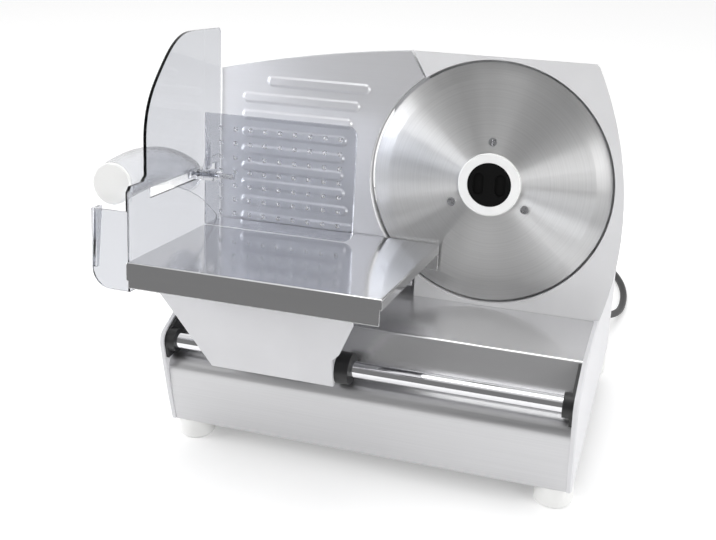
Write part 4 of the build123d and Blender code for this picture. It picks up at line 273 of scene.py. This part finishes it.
dress = {
    front_sheet: ["front_panel"],
    shelf_sheet: ["top_panel"],
    tray_sheet: ["food_tray"],
    blade_steel: ["blade"],
    housing_plastic: ["front_housing", "rear_cover"],
    gauge_sheet: ["gauge_plate"],
    foot_plastic: ["carriage_foot", "left_end_cap", "right_end_cap"],
    white_plastic: ["blade_gear", "handle_cap"],
    black_plastic: [
        "rail_socket_left", "rail_socket_right", "switch_body", "switch_rocker",
        "thickness_knob", "carriage_bushes", "glide_pads",
    ],
    cap_plastic: ["blade_lock"],
    dark_plastic: ["bottom_plate", "brush_holders", "motor_cradle", "cooling_fan", "gauge_bracket"],
    foot_rubber: ["foot_front_left", "foot_front_right", "foot_rear_left", "foot_rear_right"],
    cord_rubber: ["strain_relief", "plug_body", "power_cord", "cord_coil"],
    rail_chrome: ["slide_rail"],
    plain_steel: [
        "foot_screws", "bottom_screws", "housing_screws", "blade_axle", "blade_screws", "gauge_screws",
        "guide_rods", "thickness_spindle", "tray_screws", "guard_screws", "pusher_pin", "armature_shaft",
        "motor_screws",
    ],
    bronze: ["worm_bush", "guide_bushes", "motor_bushes", "plug_pins"],
    copper: ["field_coils", "commutator"],
    iron: ["armature_core", "motor_stator"],
    alloy: ["motor_bracket_upper", "motor_bracket_lower"],
    smoke_plastic: ["thumb_guard", "food_pusher"],
    clear_plastic: ["pusher_handle"],
}
for made, names in dress.items():
    for name in names:
        data = nodes[name].data
        data.materials.clear()
        data.materials.append(made)


# Cord: the model's route as one smooth curve
cord_diameter = 0.007
cord_exit = Vector((right_x - 0.0112, back_y + 0.0292, 0.0265))
coil_back = 0.007
coil_step_up = 0.0077
coil_half_turn_points = 6
coil_outer_radii = [0.044, 0.0402, 0.0364, 0.0326]
coil_inner_radius = 0.0288
mm = 0.001


def route():
    """Control points of the free cord and its coil, as in the model."""
    runs = (
        (20.0, 0.0, 0.0),
        (34.0, -15.0, 14.0),
        (36.0, -11.0, 8.9),
        (47.0, 2.0, 0.0),
        (50.0, 20.0, 0.0),
        (42.0, 45.0, 0.0),
        (38.0, 80.0, 0.0),
        (38.0, 115.0, 0.0),
        (38.0, 149.0, 0.0),
        (36.0, 180.0, 0.0),
    )
    points = [cord_exit]
    for run, heading, drop in runs:
        level = sqrt(run ** 2 - drop ** 2)
        turn = radians(heading)
        points.append(points[-1] + Vector((-level * sin(turn), level * cos(turn), -drop)) * mm)
    start = points[-1]
    end_x = coil_outer_radii[0]
    coil_x = start.x - end_x
    coil_y = start.y - coil_back
    level_z = start.z
    side = 1
    turns = [(radius, 0) for radius in coil_outer_radii]
    turns += [(coil_inner_radius, coil_step_up)] + turns[::-1]
    for radius, climb in turns:
        middle = end_x - side * radius
        wide = radius / cos(pi / coil_half_turn_points / 2)
        for k in range(coil_half_turn_points):
            share = (k + 0.5) / coil_half_turn_points
            angle = pi * share
            points.append(Vector((
                coil_x + middle + side * wide * cos(angle),
                coil_y - side * wide * sin(angle),
                level_z + climb * share,
            )))
        end_x -= side * 2 * radius
        side = -side
        level_z += climb
    points.append(Vector((coil_x + end_x, coil_y, level_z)))
    points.append(Vector((coil_x + end_x, coil_y + coil_back, level_z)))
    return points


route_points = route()
curve = bpy.data.curves.new("mains_cord", "CURVE")
curve.dimensions = "3D"
curve.bevel_depth = cord_diameter / 2
curve.bevel_resolution = 5
curve.resolution_u = 10
spline = curve.splines.new("NURBS")
spline.points.add(len(route_points) - 1)
for point, place in zip(spline.points, route_points):
    point.co = (*place, 1)
spline.order_u = 3
spline.use_endpoint_u = True
curve.materials.append(cord_rubber)
cord = bpy.data.objects.new("mains_cord", curve)
scene.collection.objects.link(cord)
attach(cord, "machine")
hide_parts("power_cord", "cord_coil")

# Floor
floor_radius = 1.6
floor_centre_y = 1.1
floor_drop = 0.0002
floor_glow = 0.30
floor_mesh = bpy.data.meshes.new("floor")
shape = bmesh.new()
bmesh.ops.create_circle(shape, cap_ends=True, radius=floor_radius, segments=96)
shape.to_mesh(floor_mesh)
shape.free()
floor = bpy.data.objects.new("floor", floor_mesh)
scene.collection.objects.link(floor)
floor.location = (0, floor_centre_y, -floor_drop)
floor_paint, tree, shader = new_material("floor_paint", (0.80, 0.80, 0.80), 0.8)
path = add_node(tree, "LightPath")
seen = add_node(tree, "Math", operation="MAXIMUM")
seen_too = add_node(tree, "Math", operation="MAXIMUM")
tree.links.new(path.outputs["Is Camera Ray"], seen.inputs[0])
tree.links.new(path.outputs["Is Transmission Ray"], seen.inputs[1])
tree.links.new(seen.outputs[0], seen_too.inputs[0])
tree.links.new(path.outputs["Is Glossy Ray"], seen_too.inputs[1])
glow = add_node(tree, "Math", operation="MULTIPLY")
glow.inputs[1].default_value = floor_glow
tree.links.new(seen_too.outputs[0], glow.inputs[0])
shader.inputs["Emission Color"].default_value = (1, 1, 1, 1)
tree.links.new(glow.outputs[0], shader.inputs["Emission Strength"])
floor_mesh.materials.append(floor_paint)

# World: white where the camera looks, a plain room elsewhere
world = bpy.data.worlds.new("studio")
scene.world = world
world.use_nodes = True
tree = world.node_tree
back = tree.nodes["Background"]
coords = add_node(tree, "TexCoord")
parts = add_node(tree, "SeparateXYZ")
tree.links.new(coords.outputs["Generated"], parts.inputs[0])


def ramp_of(value, start, end, low, high):
    ranged = add_node(tree, "MapRange", interpolation_type="SMOOTHSTEP")
    ranged.inputs["From Min"].default_value = start
    ranged.inputs["From Max"].default_value = end
    ranged.inputs["To Min"].default_value = low
    ranged.inputs["To Max"].default_value = high
    tree.links.new(value, ranged.inputs["Value"])
    return ranged.outputs["Result"]


ceiling = ramp_of(parts.outputs["Z"], 0.66, 0.97, 0.22, 0.95)
behind = ramp_of(parts.outputs["Y"], -0.25, 0.5, 0.0, 1.0)
room = add_node(tree, "Math", operation="MAXIMUM")
tree.links.new(ceiling, room.inputs[0])
tree.links.new(behind, room.inputs[1])
path = add_node(tree, "LightPath")
seen = add_node(tree, "Math", operation="MAXIMUM")
tree.links.new(path.outputs["Is Camera Ray"], seen.inputs[0])
tree.links.new(path.outputs["Is Transmission Ray"], seen.inputs[1])
white = add_node(tree, "Math", operation="MAXIMUM")
tree.links.new(seen.outputs[0], white.inputs[0])
tree.links.new(room.outputs[0], white.inputs[1])
tree.links.new(white.outputs[0], back.inputs["Strength"])
back.inputs["Color"].default_value = (1, 1, 1, 1)


def soft_light(name, place, aim, size, watts):
    data = bpy.data.lights.new(name, "AREA")
    data.shape = "SQUARE"
    data.size = size
    data.energy = watts
    lamp = bpy.data.objects.new(name, data)
    scene.collection.objects.link(lamp)
    lamp.location = place
    lamp.rotation_euler = (Vector(aim) - Vector(place)).to_track_quat("-Z", "Y").to_euler()


soft_light("left_softbox", (-1.70, -0.75, 0.60), (0, 0, 0.15), 1.0, 26)
soft_light("right_softbox", (1.66, -0.98, 0.52), (0.05, 0, 0.15), 1.0, 20)
soft_light("top_softbox", (0.0, 0.1, 1.9), (0, 0, 0.1), 1.1, 8)

scene.view_settings.view_transform = "Standard"
